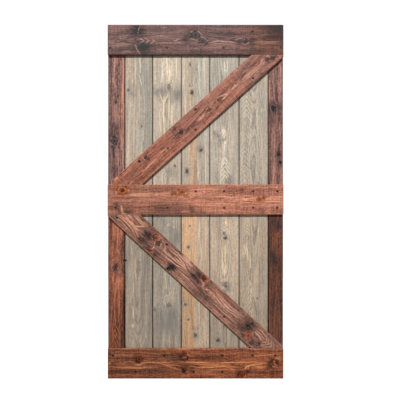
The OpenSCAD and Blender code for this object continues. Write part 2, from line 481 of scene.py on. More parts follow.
def strokes(along, across, marks, seed):
    """Streaks (half width, strength, along, across, along, across and so on): a smooth
    line through the points, strength * exp(-2 (distance / half width)^2), faint at its ends."""
    across = across + 2.0 * MM * ripple(along, across, seed, 80 * MM, 300 * MM)
    total = np.zeros_like(along)
    for half, strength, *line in marks:
        line = smooth_line(np.reshape(line, (-1, 2)) * MM)
        half *= MM
        low, high = line.min(axis=0) - 2.1 * half, line.max(axis=0) + 2.1 * half
        close = np.flatnonzero((along > low[0]) & (along < high[0])
                               & (across > low[1]) & (across < high[1]))
        lengths = np.hypot(*np.diff(line, axis=0).T)
        run = np.concatenate([[0], np.cumsum(lengths)]) / lengths.sum()
        nearest = np.full(len(close), np.inf)
        where = np.zeros(len(close))
        for n, ((from_along, from_across), step) in enumerate(zip(line, np.diff(line, axis=0))):
            gap_along, gap_across = along[close] - from_along, across[close] - from_across
            share = np.clip((gap_along * step[0] + gap_across * step[1]) / lengths[n] ** 2, 0, 1)
            distance = np.hypot(gap_along - share * step[0], gap_across - share * step[1])
            nearer = distance < nearest
            nearest = np.where(nearer, distance, nearest)
            where = np.where(nearer, run[n] + share * (run[n + 1] - run[n]), where)
        body = 0.45 + 0.55 * fade(np.minimum(where, 1 - where), 0.0, 0.3)
        total[close] = np.maximum(total[close], strength * body * np.exp(-2 * (nearest / half) ** 2))
    return total


def chevrons(along, across, marks, seed):
    """Nested arrowheads of the growth rings (tip along, tip across, reach, half width,
    line half width, strength, count, pitch). An arm leaves its tip as
    along = tip + reach * |across - tip| / half width."""
    along = along + 2.2 * MM * ripple(along, across, seed, 35 * MM, 30 * MM)
    across = across + 2.5 * MM * ripple(along, across, seed + 1, 40 * MM, 60 * MM)
    total = np.zeros_like(along)
    for tip_along, tip_across, reach, half, line, strength, count, pitch in marks:
        out = np.abs(across - tip_across * MM) / (half * MM)
        for n in range(count):
            arm = (tip_along + n * pitch) * MM + reach * MM * out
            gap = (along - arm) / (line * MM)
            total = np.maximum(total, strength * (1 - fade(out, 0.5, 1.1)) * np.exp(-gap ** 2))
    return total


def soft_span(value, low, high, border):
    """1 between low and high and 0 outside them, over soft borders. All but value are in
    millimetres."""
    rise = fade(value, (low - border) * MM, (low + border) * MM)
    return rise * (1 - fade(value, (high - border) * MM, (high + border) * MM))


def bands(along, across, marks):
    """Broad changes of shade (from along, to along, from across, to across, lighter,
    warmer), soft at their borders: how much lighter and how much warmer they sum to."""
    along = along + 40 * MM * ripple(along, across, 5, 300 * MM, 40 * MM)
    across = across + 4 * MM * ripple(along, across, 6, 200 * MM, 400 * MM)
    lighter, warmer = np.zeros_like(along), np.zeros_like(along)
    for from_along, to_along, from_across, to_across, light, warm in marks:
        inside = soft_span(along, from_along, to_along, 50)
        inside *= soft_span(across, from_across, to_across, 8)
        lighter += light * inside
        warmer += warm * inside
    return lighter, warmer


def paint(mesh, plank, look, rims):
    """Writes the piece's marks to its vertices, as the attributes that its material reads.
    They fade out through the thickness, so the back is plain. `rims` holds the stained
    rims round its holes: along, across and radius."""
    along, across, deep = plank.local(mesh_points(mesh))
    seed = look["seed"]
    edge_gap = plank.half - np.abs(across)
    start, stop = plank.ends(np.clip(across, -plank.half, plank.half))
    gap = np.minimum(edge_gap, np.minimum(along - start, stop - along))
    near_front = 1 - fade(deep, 4 * MM, plank.thick - 2 * MM)
    smoke = np.maximum(blots(along, across, look["smoke"], seed + 10),
                       strokes(along, across, look["dark_lines"], seed + 12))
    for hole_along, hole_across, rim in rims:
        reach = np.hypot(along - hole_along, across - hole_across) / rim
        smoke = np.maximum(smoke, RIM_SHADE * np.exp(-reach ** 4))
    flame = np.maximum(strokes(along, across, look["flames"], seed + 13),
                       chevrons(along, across, look["chevrons"], seed + 14))
    lighter, warmer = (near_front * values for values in bands(along, across, look["bands"]))
    lighter += 0.07 * ripple(along, across, seed + 16, 500 * MM, 50 * MM)
    warmer += 0.15 * ripple(along, across, seed + 17, 400 * MM, 70 * MM)
    wear = (1 - fade(gap, 0, 6 * MM)) * (1 - fade(deep, 2 * MM, 8 * MM))
    if plank.kind == "board":
        seam = (1 - fade(edge_gap, 0.5 * MM, 6 * MM)) * (1 - fade(deep, 4 * MM, 8 * MM))
        lighter -= SEAM_SHADE * seam
        wear *= BOARD_WEAR
    else:
        lighter -= EDGE_SHADE * (1 - fade(gap, 0, 5 * MM))
    for name, values in (("smoke", smoke * near_front), ("flame", flame * near_front),
                         ("lighter", lighter), ("warmer", warmer), ("wear", wear)):
        attribute = mesh.attributes.new("mark_" + name, "FLOAT", "POINT")
        attribute.data.foreach_set("value", values.astype(np.float32))


def unwrap(mesh, plank):
    """The map for baking. From left to right it holds the front face in two strips, the
    back face and then everything else, each running along the grain from bottom to top."""
    corners = np.empty(len(mesh.loops), dtype=np.int64)
    mesh.loops.foreach_get("vertex_index", corners)
    along, across, deep = (values[corners] for values in plank.local(mesh_points(mesh)))
    sizes = np.empty(len(mesh.polygons), dtype=np.int64)
    mesh.polygons.foreach_get("loop_total", sizes)
    face = np.repeat(np.arange(len(sizes)), sizes)
    middle_along = (np.bincount(face, along) / sizes)[face]
    middle_deep = (np.bincount(face, deep) / sizes)[face]
    middle_across = (np.bincount(face, across) / sizes)[face]
    length, reach = along.max(), plank.half + TONGUE_REACH
    side = (across + reach) / (2 * reach)
    front = middle_deep < EASE
    back = middle_deep > plank.thick - EASE
    second = middle_along > length / 2
    edge_u = EDGE_START + EDGE_PITCH * (middle_across > 0) + EDGE_WIDTH * deep / plank.thick
    u = np.where(front, FRONT_WIDTH * side + FRONT_PITCH * second,
                 np.where(back, BACK_START + BACK_WIDTH * side, edge_u))
    half_length = np.where(second, along - length / 2, along) / (length / 2)
    v = np.where(front, half_length, along / length)
    layer = mesh.uv_layers.get("OFBake") or mesh.uv_layers.new(name="OFBake")
    places = MAP_MARGIN + (1 - 2 * MAP_MARGIN) * np.clip(np.stack([u, v], axis=1), 0, 1)
    layer.uv.foreach_set("vector", places.astype(np.float32).ravel())


# ---------------------------------------------------------------- shader building blocks

class Nodes:
    """Adds nodes to a tree and links what they are given."""

    def __init__(self, tree):
        self.tree = tree

    def feed(self, socket, value):
        """Links an output to the socket, or sets the socket to a number or colour."""
        if isinstance(value, bpy.types.NodeSocket):
            self.tree.links.new(value, socket)
        else:
            socket.default_value = value

    def new(self, kind, inputs=(), **settings):
        """A new node with these settings, and its inputs fed by name or number."""
        node = self.tree.nodes.new(kind)
        for name, value in settings.items():
            setattr(node, name, value)
        for name, value in dict(inputs).items():
            self.feed(node.inputs[name], value)
        return node

    def math(self, operation, *values, clamp=False):
        node = self.new("ShaderNodeMath", operation=operation, use_clamp=clamp)
        for n, value in enumerate(values):
            self.feed(node.inputs[n], value)
        return node.outputs[0]

    def vector(self, operation, *values, scale=None):
        node = self.new("ShaderNodeVectorMath", operation=operation)
        for n, value in enumerate(values):
            self.feed(node.inputs[n], value)
        if scale is not None:
            self.feed(node.inputs["Scale"], scale)
        return node.outputs[0]

    def step(self, value, start, stop, low=0.0, high=1.0):
        """Smooth step of value from low, before start, to high, after stop."""
        node = self.new("ShaderNodeMapRange", interpolation_type="SMOOTHSTEP")
        for n, number in enumerate((value, start, stop, low, high)):
            self.feed(node.inputs[n], number)
        return node.outputs[0]

    def mix(self, factor, first, second):
        """Colour from first, at a factor of 0, to second, at 1."""
        node = self.new("ShaderNodeMix", data_type="RGBA")
        for socket, value in zip((node.inputs[0], node.inputs[6], node.inputs[7]),
                                 (factor, first, second)):
            self.feed(socket, value)
        return node.outputs[2]

    def noise(self, vector, scale=1.0, detail=2.0, roughness=0.5):
        node = self.new("ShaderNodeTexNoise", {
            "Vector": vector, "Scale": scale, "Detail": detail, "Roughness": roughness})
        return node.outputs["Fac"]

    def attribute(self, name):
        return self.new("ShaderNodeAttribute", attribute_name=name).outputs["Fac"]

    def group(self, tree, inputs):
        return self.new("ShaderNodeGroup", inputs, node_tree=tree).outputs


SOCKETS = {"float": "NodeSocketFloat", "vector": "NodeSocketVector", "color": "NodeSocketColor"}


def new_group(name, inputs, outputs):
    """An empty shader group with these named sockets, its nodes and its input sockets."""
    tree = bpy.data.node_groups.new(name, "ShaderNodeTree")
    for title, kind in inputs.items():
        tree.interface.new_socket(title, in_out="INPUT", socket_type=SOCKETS[kind])
    for title, kind in outputs.items():
        tree.interface.new_socket(title, in_out="OUTPUT", socket_type=SOCKETS[kind])
    nodes = Nodes(tree)
    return tree, nodes, nodes.new("NodeGroupInput").outputs


def knot_group():
    """One knot, chained after another. Bend is how far the grain is pushed aside, which
    keeps to across * (1 - 1 / reach^2) round the knot, as water flows round a post.
    Nearest is the distance to the nearest knot in its radii, and Warm that knot's kind."""
    tree, nodes, given = new_group(
        "knot",
        {"Place": "vector", "Wobble": "float", "Bend": "float", "Nearest": "float",
         "Warm": "float", "Along": "float", "Across": "float", "Radius": "float",
         "Stretch": "float", "Own warm": "float"},
        {"Bend": "float", "Nearest": "float", "Warm": "float"})
    parts = nodes.new("ShaderNodeSeparateXYZ", {0: given["Place"]}).outputs
    along = nodes.math("DIVIDE", nodes.math("SUBTRACT", parts[0], given["Along"]), given["Stretch"])
    across = nodes.math("SUBTRACT", parts[2], given["Across"])
    squares = nodes.math("ADD", nodes.math("MULTIPLY", along, along),
                         nodes.math("MULTIPLY", across, across))
    uneven = nodes.math("MULTIPLY_ADD", given["Wobble"], 0.9, 1.0)
    reach = nodes.math("DIVIDE", nodes.math("MULTIPLY", nodes.math("SQRT", squares), uneven),
                       given["Radius"])
    floor = nodes.math("MAXIMUM", nodes.math("MULTIPLY", reach, reach), 1.0)
    bend = nodes.math("ADD", given["Bend"], nodes.math("DIVIDE", across, floor))
    closer = nodes.math("LESS_THAN", reach, given["Nearest"])
    change = nodes.math("SUBTRACT", given["Own warm"], given["Warm"])
    warm = nodes.math("MULTIPLY_ADD", change, closer, given["Warm"])
    nodes.new("NodeGroupOutput", {
        "Bend": bend, "Nearest": nodes.math("MINIMUM", reach, given["Nearest"]), "Warm": warm})
    return tree


def grain_group():
    """Growth rings of a log whose pith wanders behind the face. A ring's number is
    sqrt((across - pith's across)^2 + (deep + pith's depth)^2) / ring width. Late is the
    dark late wood, Streak broad bands along the grain, Line narrower ones, Fibre the
    finest, Saw the faint marks of the saw across the grain, and Ring shade a random value
    for each ring."""
    tree, nodes, given = new_group(
        "grain",
        {"Place": "vector", "Bend": "float", "Nearest": "float", "Seed": "float",
         "Ring width": "float", "Pith depth": "float", "Pith wander": "float"},
        {"Late": "float", "Streak": "float", "Line": "float", "Fibre": "float", "Saw": "float",
         "Ring shade": "float"})
    parts = nodes.new("ShaderNodeSeparateXYZ", {0: given["Place"]}).outputs
    seed = given["Seed"]

    def wander(pitch, offset):
        """A value from about -0.5 to 0.5 that changes slowly along the piece."""
        place = nodes.math("ADD", nodes.math("MULTIPLY", parts[0], pitch),
                           nodes.math("MULTIPLY_ADD", seed, 3.7, offset))
        node = nodes.new("ShaderNodeTexNoise", {"W": place, "Scale": 1.0, "Detail": 1.0},
                         noise_dimensions="1D")
        return nodes.math("SUBTRACT", node.outputs["Fac"], 0.5)

    shift = nodes.math("MULTIPLY", wander(1.1, 0.0), nodes.math("MULTIPLY", given["Pith wander"], 0.6))
    depth = nodes.math("MULTIPLY_ADD", wander(1.7, 40.0), given["Pith wander"], given["Pith depth"])
    seeds = nodes.new("ShaderNodeCombineXYZ", {0: seed, 1: nodes.math("MULTIPLY", seed, 2.3),
                                               2: nodes.math("MULTIPLY", seed, 1.7)}).outputs[0]
    straight = nodes.math("SUBTRACT", nodes.math("SUBTRACT", parts[2], given["Bend"]), shift)
    followed = nodes.new("ShaderNodeCombineXYZ", {0: parts[0], 1: parts[1], 2: straight}).outputs[0]
    scattered = nodes.vector("ADD", followed, seeds)

    def stretched(pitches, detail):
        """Noise drawn out along the grain, which follows it round the knots."""
        return nodes.noise(nodes.vector("MULTIPLY", scattered, pitches), detail=detail)

    wobble = stretched((14.0, 60.0, 45.0), 3.0)
    deep = nodes.math("ADD", parts[1], depth)
    radius = nodes.math("SQRT", nodes.math("ADD", nodes.math("MULTIPLY", straight, straight),
                                           nodes.math("MULTIPLY", deep, deep)))
    ring = nodes.math("DIVIDE", radius, given["Ring width"])
    square = nodes.math("POWER", given["Nearest"], 2.0)
    swell = nodes.math("EXPONENT", nodes.math("MULTIPLY", square, -0.35))
    ring = nodes.math("MULTIPLY_ADD", swell, 1.6, ring)
    ring = nodes.math("MULTIPLY_ADD", wobble, 1.1, ring)
    share = nodes.math("FRACT", ring)
    late = nodes.math("MULTIPLY", nodes.step(share, 0.35, 0.9), nodes.step(share, 0.9, 1.0, 1.0, 0.0))
    number = nodes.math("FLOOR", ring)
    shade = nodes.new("ShaderNodeTexWhiteNoise", {"W": number}, noise_dimensions="1D").outputs["Value"]
    across_grain = nodes.vector("MULTIPLY", given["Place"], (210.0, 4.0, 7.0))
    nodes.new("NodeGroupOutput", {
        "Late": late, "Streak": stretched((2.2, 30.0, 40.0), 2.0),
        "Line": stretched((7.0, 90.0, 125.0), 2.0), "Fibre": stretched((40.0, 230.0, 270.0), 3.0),
        "Saw": nodes.noise(across_grain, detail=1.0), "Ring shade": shade})
    return tree


def swing(nodes, noise, amount):
    """A noise's offset from its middle, times an amount."""
    return nodes.math("MULTIPLY", nodes.math("SUBTRACT", noise, 0.5), amount)


def stained_wood(nodes, given):
    """The stain between the knots: its colour, its depth and the lines of the late wood.
    The depth runs from Pale at 0 to Dark at 1, and sums what each noise adds to it."""
    lines = given["Lines"]
    mottle = nodes.noise(nodes.vector("MULTIPLY", given["Place"], (70.0, 60.0, 90.0)), detail=4.0,
                         roughness=0.7)
    ring_strength = nodes.math("MULTIPLY_ADD", given["Ring shade"], 0.8, 0.3)
    late = nodes.math("MULTIPLY", given["Late"], ring_strength)
    depth = nodes.math("ADD", swing(nodes, given["Streak"], given["Streaks"]), 0.48)
    for noise, amount in ((given["Line"], lines),
                          (given["Fibre"], nodes.math("MULTIPLY", lines, 0.95)),
                          (given["Saw"], given["Saw marks"]),
                          (mottle, nodes.math("MULTIPLY_ADD", lines, 0.7, 0.5))):
        depth = nodes.math("ADD", depth, swing(nodes, noise, amount))
    depth = nodes.math("MULTIPLY_ADD", late, given["Contrast"], depth, clamp=True)
    color = nodes.mix(depth, given["Pale"], given["Dark"])
    bright = nodes.math("MULTIPLY", nodes.step(given["Line"], 0.6, 0.74), 0.6)
    return nodes.mix(bright, color, given["Flame"]), depth, late


def marked_wood(nodes, given, color, broken):
    """The piece's marks over the stain: pale streaks, changes of shade (among them painted shade and a
    painted highlight along rail edges), and smoke that keeps off the streaks. Gives the colour and the
    smoke."""
    flame = nodes.math("MULTIPLY", nodes.attribute("mark_flame"),
                       nodes.step(broken, 0.34, 0.54, 0.4, 1.15), clamp=True)
    color = nodes.mix(flame, color, given["Flame"])
    shade = nodes.math("ADD", nodes.attribute("mark_lighter"), 1.0)
    color = nodes.vector("SCALE", color, scale=shade)
    warmer = nodes.attribute("mark_warmer")
    tint = nodes.new("ShaderNodeCombineXYZ", {
        n: nodes.math("MULTIPLY_ADD", warmer, share, 1.0) for n, share in enumerate(WARM_TINT)})
    color = nodes.vector("MULTIPLY", color, tint.outputs[0])
    smoke = nodes.math("MULTIPLY", nodes.attribute("mark_smoke"),
                       nodes.step(given["Line"], 0.3, 0.6, 0.75, 1.1))
    smoke = nodes.math("MULTIPLY", smoke, nodes.step(broken, 0.3, 0.55, 0.75, 1.05), clamp=True)
    smoke = nodes.math("MULTIPLY", smoke, nodes.math("MULTIPLY_ADD", flame, -0.6, 1.0))
    return nodes.mix(smoke, color, given["Smoke"]), smoke


def knot_core(nodes, given, broken, curl):
    """Colour inside a knot: grimy grey in a cold one and orange in an ember one, with fine
    rings, and a dark heart."""
    near, warm = given["Nearest"], given["Warm"]
    blotches = nodes.step(broken, 0.36, 0.62)
    cold = nodes.mix(nodes.math("MULTIPLY_ADD", blotches, 0.6, 0.2), given["Knot"],
                     nodes.mix(0.3, given["Smoke"], given["Pale"]))
    outer = nodes.math("MULTIPLY", nodes.step(near, 0.35, 0.85),
                       nodes.math("MULTIPLY_ADD", blotches, 0.5, 0.5))
    ember = nodes.mix(outer, nodes.mix(0.15, given["Dark"], given["Ember"]), given["Ember"])
    turns = nodes.math("MULTIPLY_ADD", near, 17.0, nodes.math("MULTIPLY", curl, 16.0))
    ripples = nodes.math("MULTIPLY_ADD", nodes.math("SINE", turns), 0.16, 0.98)
    color = nodes.vector("SCALE", nodes.mix(warm, cold, ember), scale=ripples)
    heart = nodes.math("MULTIPLY", nodes.step(near, 0.1, 0.6, 0.8, 0.0),
                       nodes.math("MULTIPLY_ADD", warm, -0.8, 1.15))
    return nodes.mix(heart, color, given["Knot"])


def knotted_wood(nodes, given, color, smoke, broken):
    """The knots over the wood: a smoky halo, a pale crescent, the core, and the bark round
    it, with the smoke over them all. Gives the colour and the bark."""
    near = given["Nearest"]
    curl = nodes.noise(given["Place"], scale=48.0, detail=2.0)
    patchy = nodes.step(curl, 0.38, 0.62)
    uneven = nodes.math("MULTIPLY_ADD", patchy, 0.75, 0.1)
    halo = nodes.math("MULTIPLY", nodes.step(near, 0.9, 2.6, 0.85, 0.0), uneven)
    halo_color = nodes.mix(nodes.math("MULTIPLY", given["Warm"], 0.5), given["Smoke"], given["Ember"])
    color = nodes.mix(halo, color, halo_color)
    crescent = nodes.math("MULTIPLY", nodes.step(near, 1.05, 1.25), nodes.step(near, 1.3, 1.55, 1.0, 0.0))
    crescent = nodes.math("MULTIPLY", crescent, nodes.step(patchy, 0.1, 0.5, 0.5, 0.0))
    color = nodes.mix(crescent, color, given["Flame"])
    inside = nodes.step(near, 0.85, 1.08, 0.92, 0.0)
    color = nodes.mix(inside, color, knot_core(nodes, given, broken, curl))
    bark = nodes.math("MULTIPLY", nodes.step(near, 0.84, 1.0), nodes.step(near, 1.04, 1.25, 1.0, 0.0))
    bark = nodes.math("MULTIPLY", bark, uneven)
    color = nodes.mix(bark, color, given["Knot"])
    over = nodes.math("MULTIPLY", nodes.step(smoke, 0.2, 0.75), nodes.step(near, 1.1, 1.6, 0.9, 0.0))
    return nodes.mix(over, color, given["Knot"]), bark


def stain_group():
    """The stain over the wood: colour, roughness and height from the grain, the piece's marks (with painted
    shade and a painted highlight along some rail edges), its knots and its worn edges."""
    tree, nodes, given = new_group(
        "stain",
        {"Place": "vector", "Late": "float", "Streak": "float", "Line": "float",
         "Fibre": "float", "Saw": "float", "Ring shade": "float", "Nearest": "float",
         "Warm": "float", "Pale": "color", "Dark": "color", "Flame": "color",
         "Smoke": "color", "Knot": "color", "Ember": "color", "Contrast": "float",
         "Streaks": "float", "Lines": "float", "Saw marks": "float", "Base roughness": "float"},
        {"Color": "color", "Roughness": "float", "Height": "float"})
    broken = nodes.noise(nodes.vector("MULTIPLY", given["Place"], (60.0, 120.0, 170.0)), detail=4.0,
                         roughness=0.65)
    color, depth, late = stained_wood(nodes, given)
    color, smoke = marked_wood(nodes, given, color, broken)
    color, bark = knotted_wood(nodes, given, color, smoke, broken)
    worn = nodes.math("MULTIPLY", nodes.attribute("mark_wear"), nodes.step(broken, 0.4, 0.58, 0.1, 0.8))
    color = nodes.mix(worn, color, given["Pale"])

    in_knot = nodes.step(given["Nearest"], 0.95, 1.05, 1.0, 0.0)
    rough = nodes.math("MULTIPLY_ADD", depth, -0.10, given["Base roughness"])
    rough = nodes.math("MULTIPLY_ADD", nodes.math("MAXIMUM", smoke, worn), 0.10, rough)
    rough = nodes.math("MULTIPLY_ADD", in_knot, -0.12, rough)
    height = nodes.math("MULTIPLY", late, -0.35)
    height = nodes.math("MULTIPLY_ADD", given["Fibre"], 0.35, height)
    saw_depth = nodes.math("MULTIPLY", given["Saw marks"], 0.8)
    height = nodes.math("MULTIPLY_ADD", given["Saw"], saw_depth, height)
    height = nodes.math("MULTIPLY_ADD", bark, -0.9, height)
    height = nodes.math("MULTIPLY_ADD", broken, 0.12, height)
    nodes.new("NodeGroupOutput", {"Color": color, "Roughness": rough, "Height": height})
    return tree


def new_material(name):
    """A new material, its nodes and its Principled shader."""
    material = bpy.data.materials.new(name)
    material.use_nodes = True
    return material, Nodes(material.node_tree), material.node_tree.nodes["Principled BSDF"]


def wood_material(plank, look, groups):
    """The stained wood of one piece: its own grain, knots and colours."""
    material, nodes, shader = new_material(plank.node + "_wood")
    coordinates = nodes.new("ShaderNodeTexCoord").outputs["Object"]
    place = nodes.new("ShaderNodeMapping", {
        "Vector": coordinates, "Rotation": (0.0, plank.angle, 0.0),
        "Location": (-float(plank.origin @ plank.run), -float(plank.front),
                     -float(plank.origin @ plank.side))}).outputs[0]
    wobble = nodes.math("SUBTRACT", nodes.noise(place, scale=55.0, detail=3.0), 0.5)
    state = {"Bend": 0.0, "Nearest": 9.0, "Warm": 0.0}
    for along, across, radius, stretch, warm in look["knots"]:
        result = nodes.group(groups["knot"], {
            "Place": place, "Wobble": wobble, **state, "Along": along * MM, "Across": across * MM,
            "Radius": radius * MM, "Stretch": stretch, "Own warm": float(warm)})
        state = {name: result[name] for name in state}
    grain = nodes.group(groups["grain"], {
        "Place": place, "Bend": state["Bend"], "Nearest": state["Nearest"],
        "Seed": float(look["seed"]), "Ring width": look["ring"] * MM,
        "Pith depth": look["pith"] * MM, "Pith wander": look["wander"] * MM})
    frame_piece = plank.kind == "frame"
    stain = nodes.group(groups["stain"], {
        "Place": place, "Nearest": state["Nearest"], "Warm": state["Warm"],
        **{name: grain[name] for name in ("Late", "Streak", "Line", "Fibre", "Saw", "Ring shade")},
        **{name: srgb(*color) for name, color in look["colors"].items()},
        "Contrast": look["contrast"], "Streaks": look["streaks"], "Lines": look["lines"],
        "Saw marks": 0.8 if frame_piece else 0.2,
        "Base roughness": 0.58 if frame_piece else 0.68})
    bump = nodes.new("ShaderNodeBump", {
        "Strength": 0.7, "Distance": 0.5 * MM, "Height": stain["Height"]}).outputs[0]
    nodes.feed(shader.inputs["Base Color"], stain["Color"])
    nodes.feed(shader.inputs["Roughness"], stain["Roughness"])
    nodes.feed(shader.inputs["Normal"], bump)
    shader.inputs["Specular IOR Level"].default_value = 0.25
    return material


def hole_material():
    """Near-black walls inside the drilled and lost-knot holes: painted shade of the hollows."""
    material, nodes, shader = new_material("hole_wall")
    place = nodes.new("ShaderNodeTexCoord").outputs["Object"]
    blotches = nodes.noise(place, scale=400.0, detail=3.0)
    # painted shade: noise blotches the walls between two near-black browns
    color = nodes.mix(blotches, srgb(20, 13, 10), srgb(48, 32, 24))
    nodes.feed(shader.inputs["Base Color"], color)
    shader.inputs["Roughness"].default_value = 0.9
    shader.inputs["Specular IOR Level"].default_value = 0.1
    return material


def screw_material():
    """Black oxide steel, a little rubbed in random patches."""
    material, nodes, shader = new_material("black_oxide")
    place = nodes.new("ShaderNodeTexCoord").outputs["Object"]
    rubbed = nodes.step(nodes.noise(place, scale=900.0, detail=3.0), 0.5, 0.75)
    color = nodes.mix(rubbed, srgb(22, 21, 22), srgb(70, 66, 64))
    nodes.feed(shader.inputs["Base Color"], color)
    nodes.feed(shader.inputs["Roughness"], nodes.step(rubbed, 0.0, 1.0, 0.55, 0.4))
    shader.inputs["Metallic"].default_value = 0.6
    return material


# ---------------------------------------------------------------- the pieces' own looks
#
# knots       (along, across, radius, stretch along the grain, warm: 1 for an ember one)
# smoke       dark patches (along, across, half length, half width, strength)
# dark_lines  (half width, strength, along, across, along, across and so on)
# flames      pale or orange streaks, as dark_lines
# chevrons    (tip along, tip across, reach, half width, line half width, strength, count, pitch)
# bands       (from along, to along, from across, to across, lighter, warmer)
# dents       (along, across, radius, depth)
# ring, pith and wander set the growth rings: their width, the pith's mean depth behind the
# face and how far it strays, in millimetres

BROWN = {"Pale": (150, 107, 98), "Dark": (62, 42, 39), "Flame": (200, 158, 140),
         "Smoke": (46, 40, 42), "Knot": (26, 22, 23), "Ember": (140, 84, 56)}
RED = {"Pale": (212, 140, 113), "Dark": (108, 64, 50), "Flame": (234, 170, 132),
       "Smoke": (72, 50, 46), "Knot": (38, 26, 24), "Ember": (210, 108, 44)}
UPPER = dict(RED, Pale=(198, 131, 109), Dark=(98, 57, 45), Flame=(224, 164, 134))
LOWER = dict(RED, Pale=(194, 137, 117), Dark=(84, 56, 47), Smoke=(44, 33, 33), Flame=(232, 174, 144),
             Ember=(206, 112, 74))
ORANGE = {"Pale": (168, 104, 73), "Dark": (72, 37, 27), "Flame": (214, 146, 98),
          "Smoke": (48, 32, 28), "Knot": (24, 16, 15), "Ember": (152, 62, 30)}
STILE = {"Pale": (186, 137, 124), "Dark": (80, 52, 48), "Flame": (212, 156, 136),
         "Smoke": (50, 42, 44), "Knot": (28, 23, 24), "Ember": (160, 86, 52)}
LIGHT = {"Pale": (218, 202, 182), "Dark": (142, 131, 118), "Flame": (236, 222, 192),
         "Smoke": (130, 124, 118), "Knot": (74, 68, 68), "Ember": (150, 116, 106)}

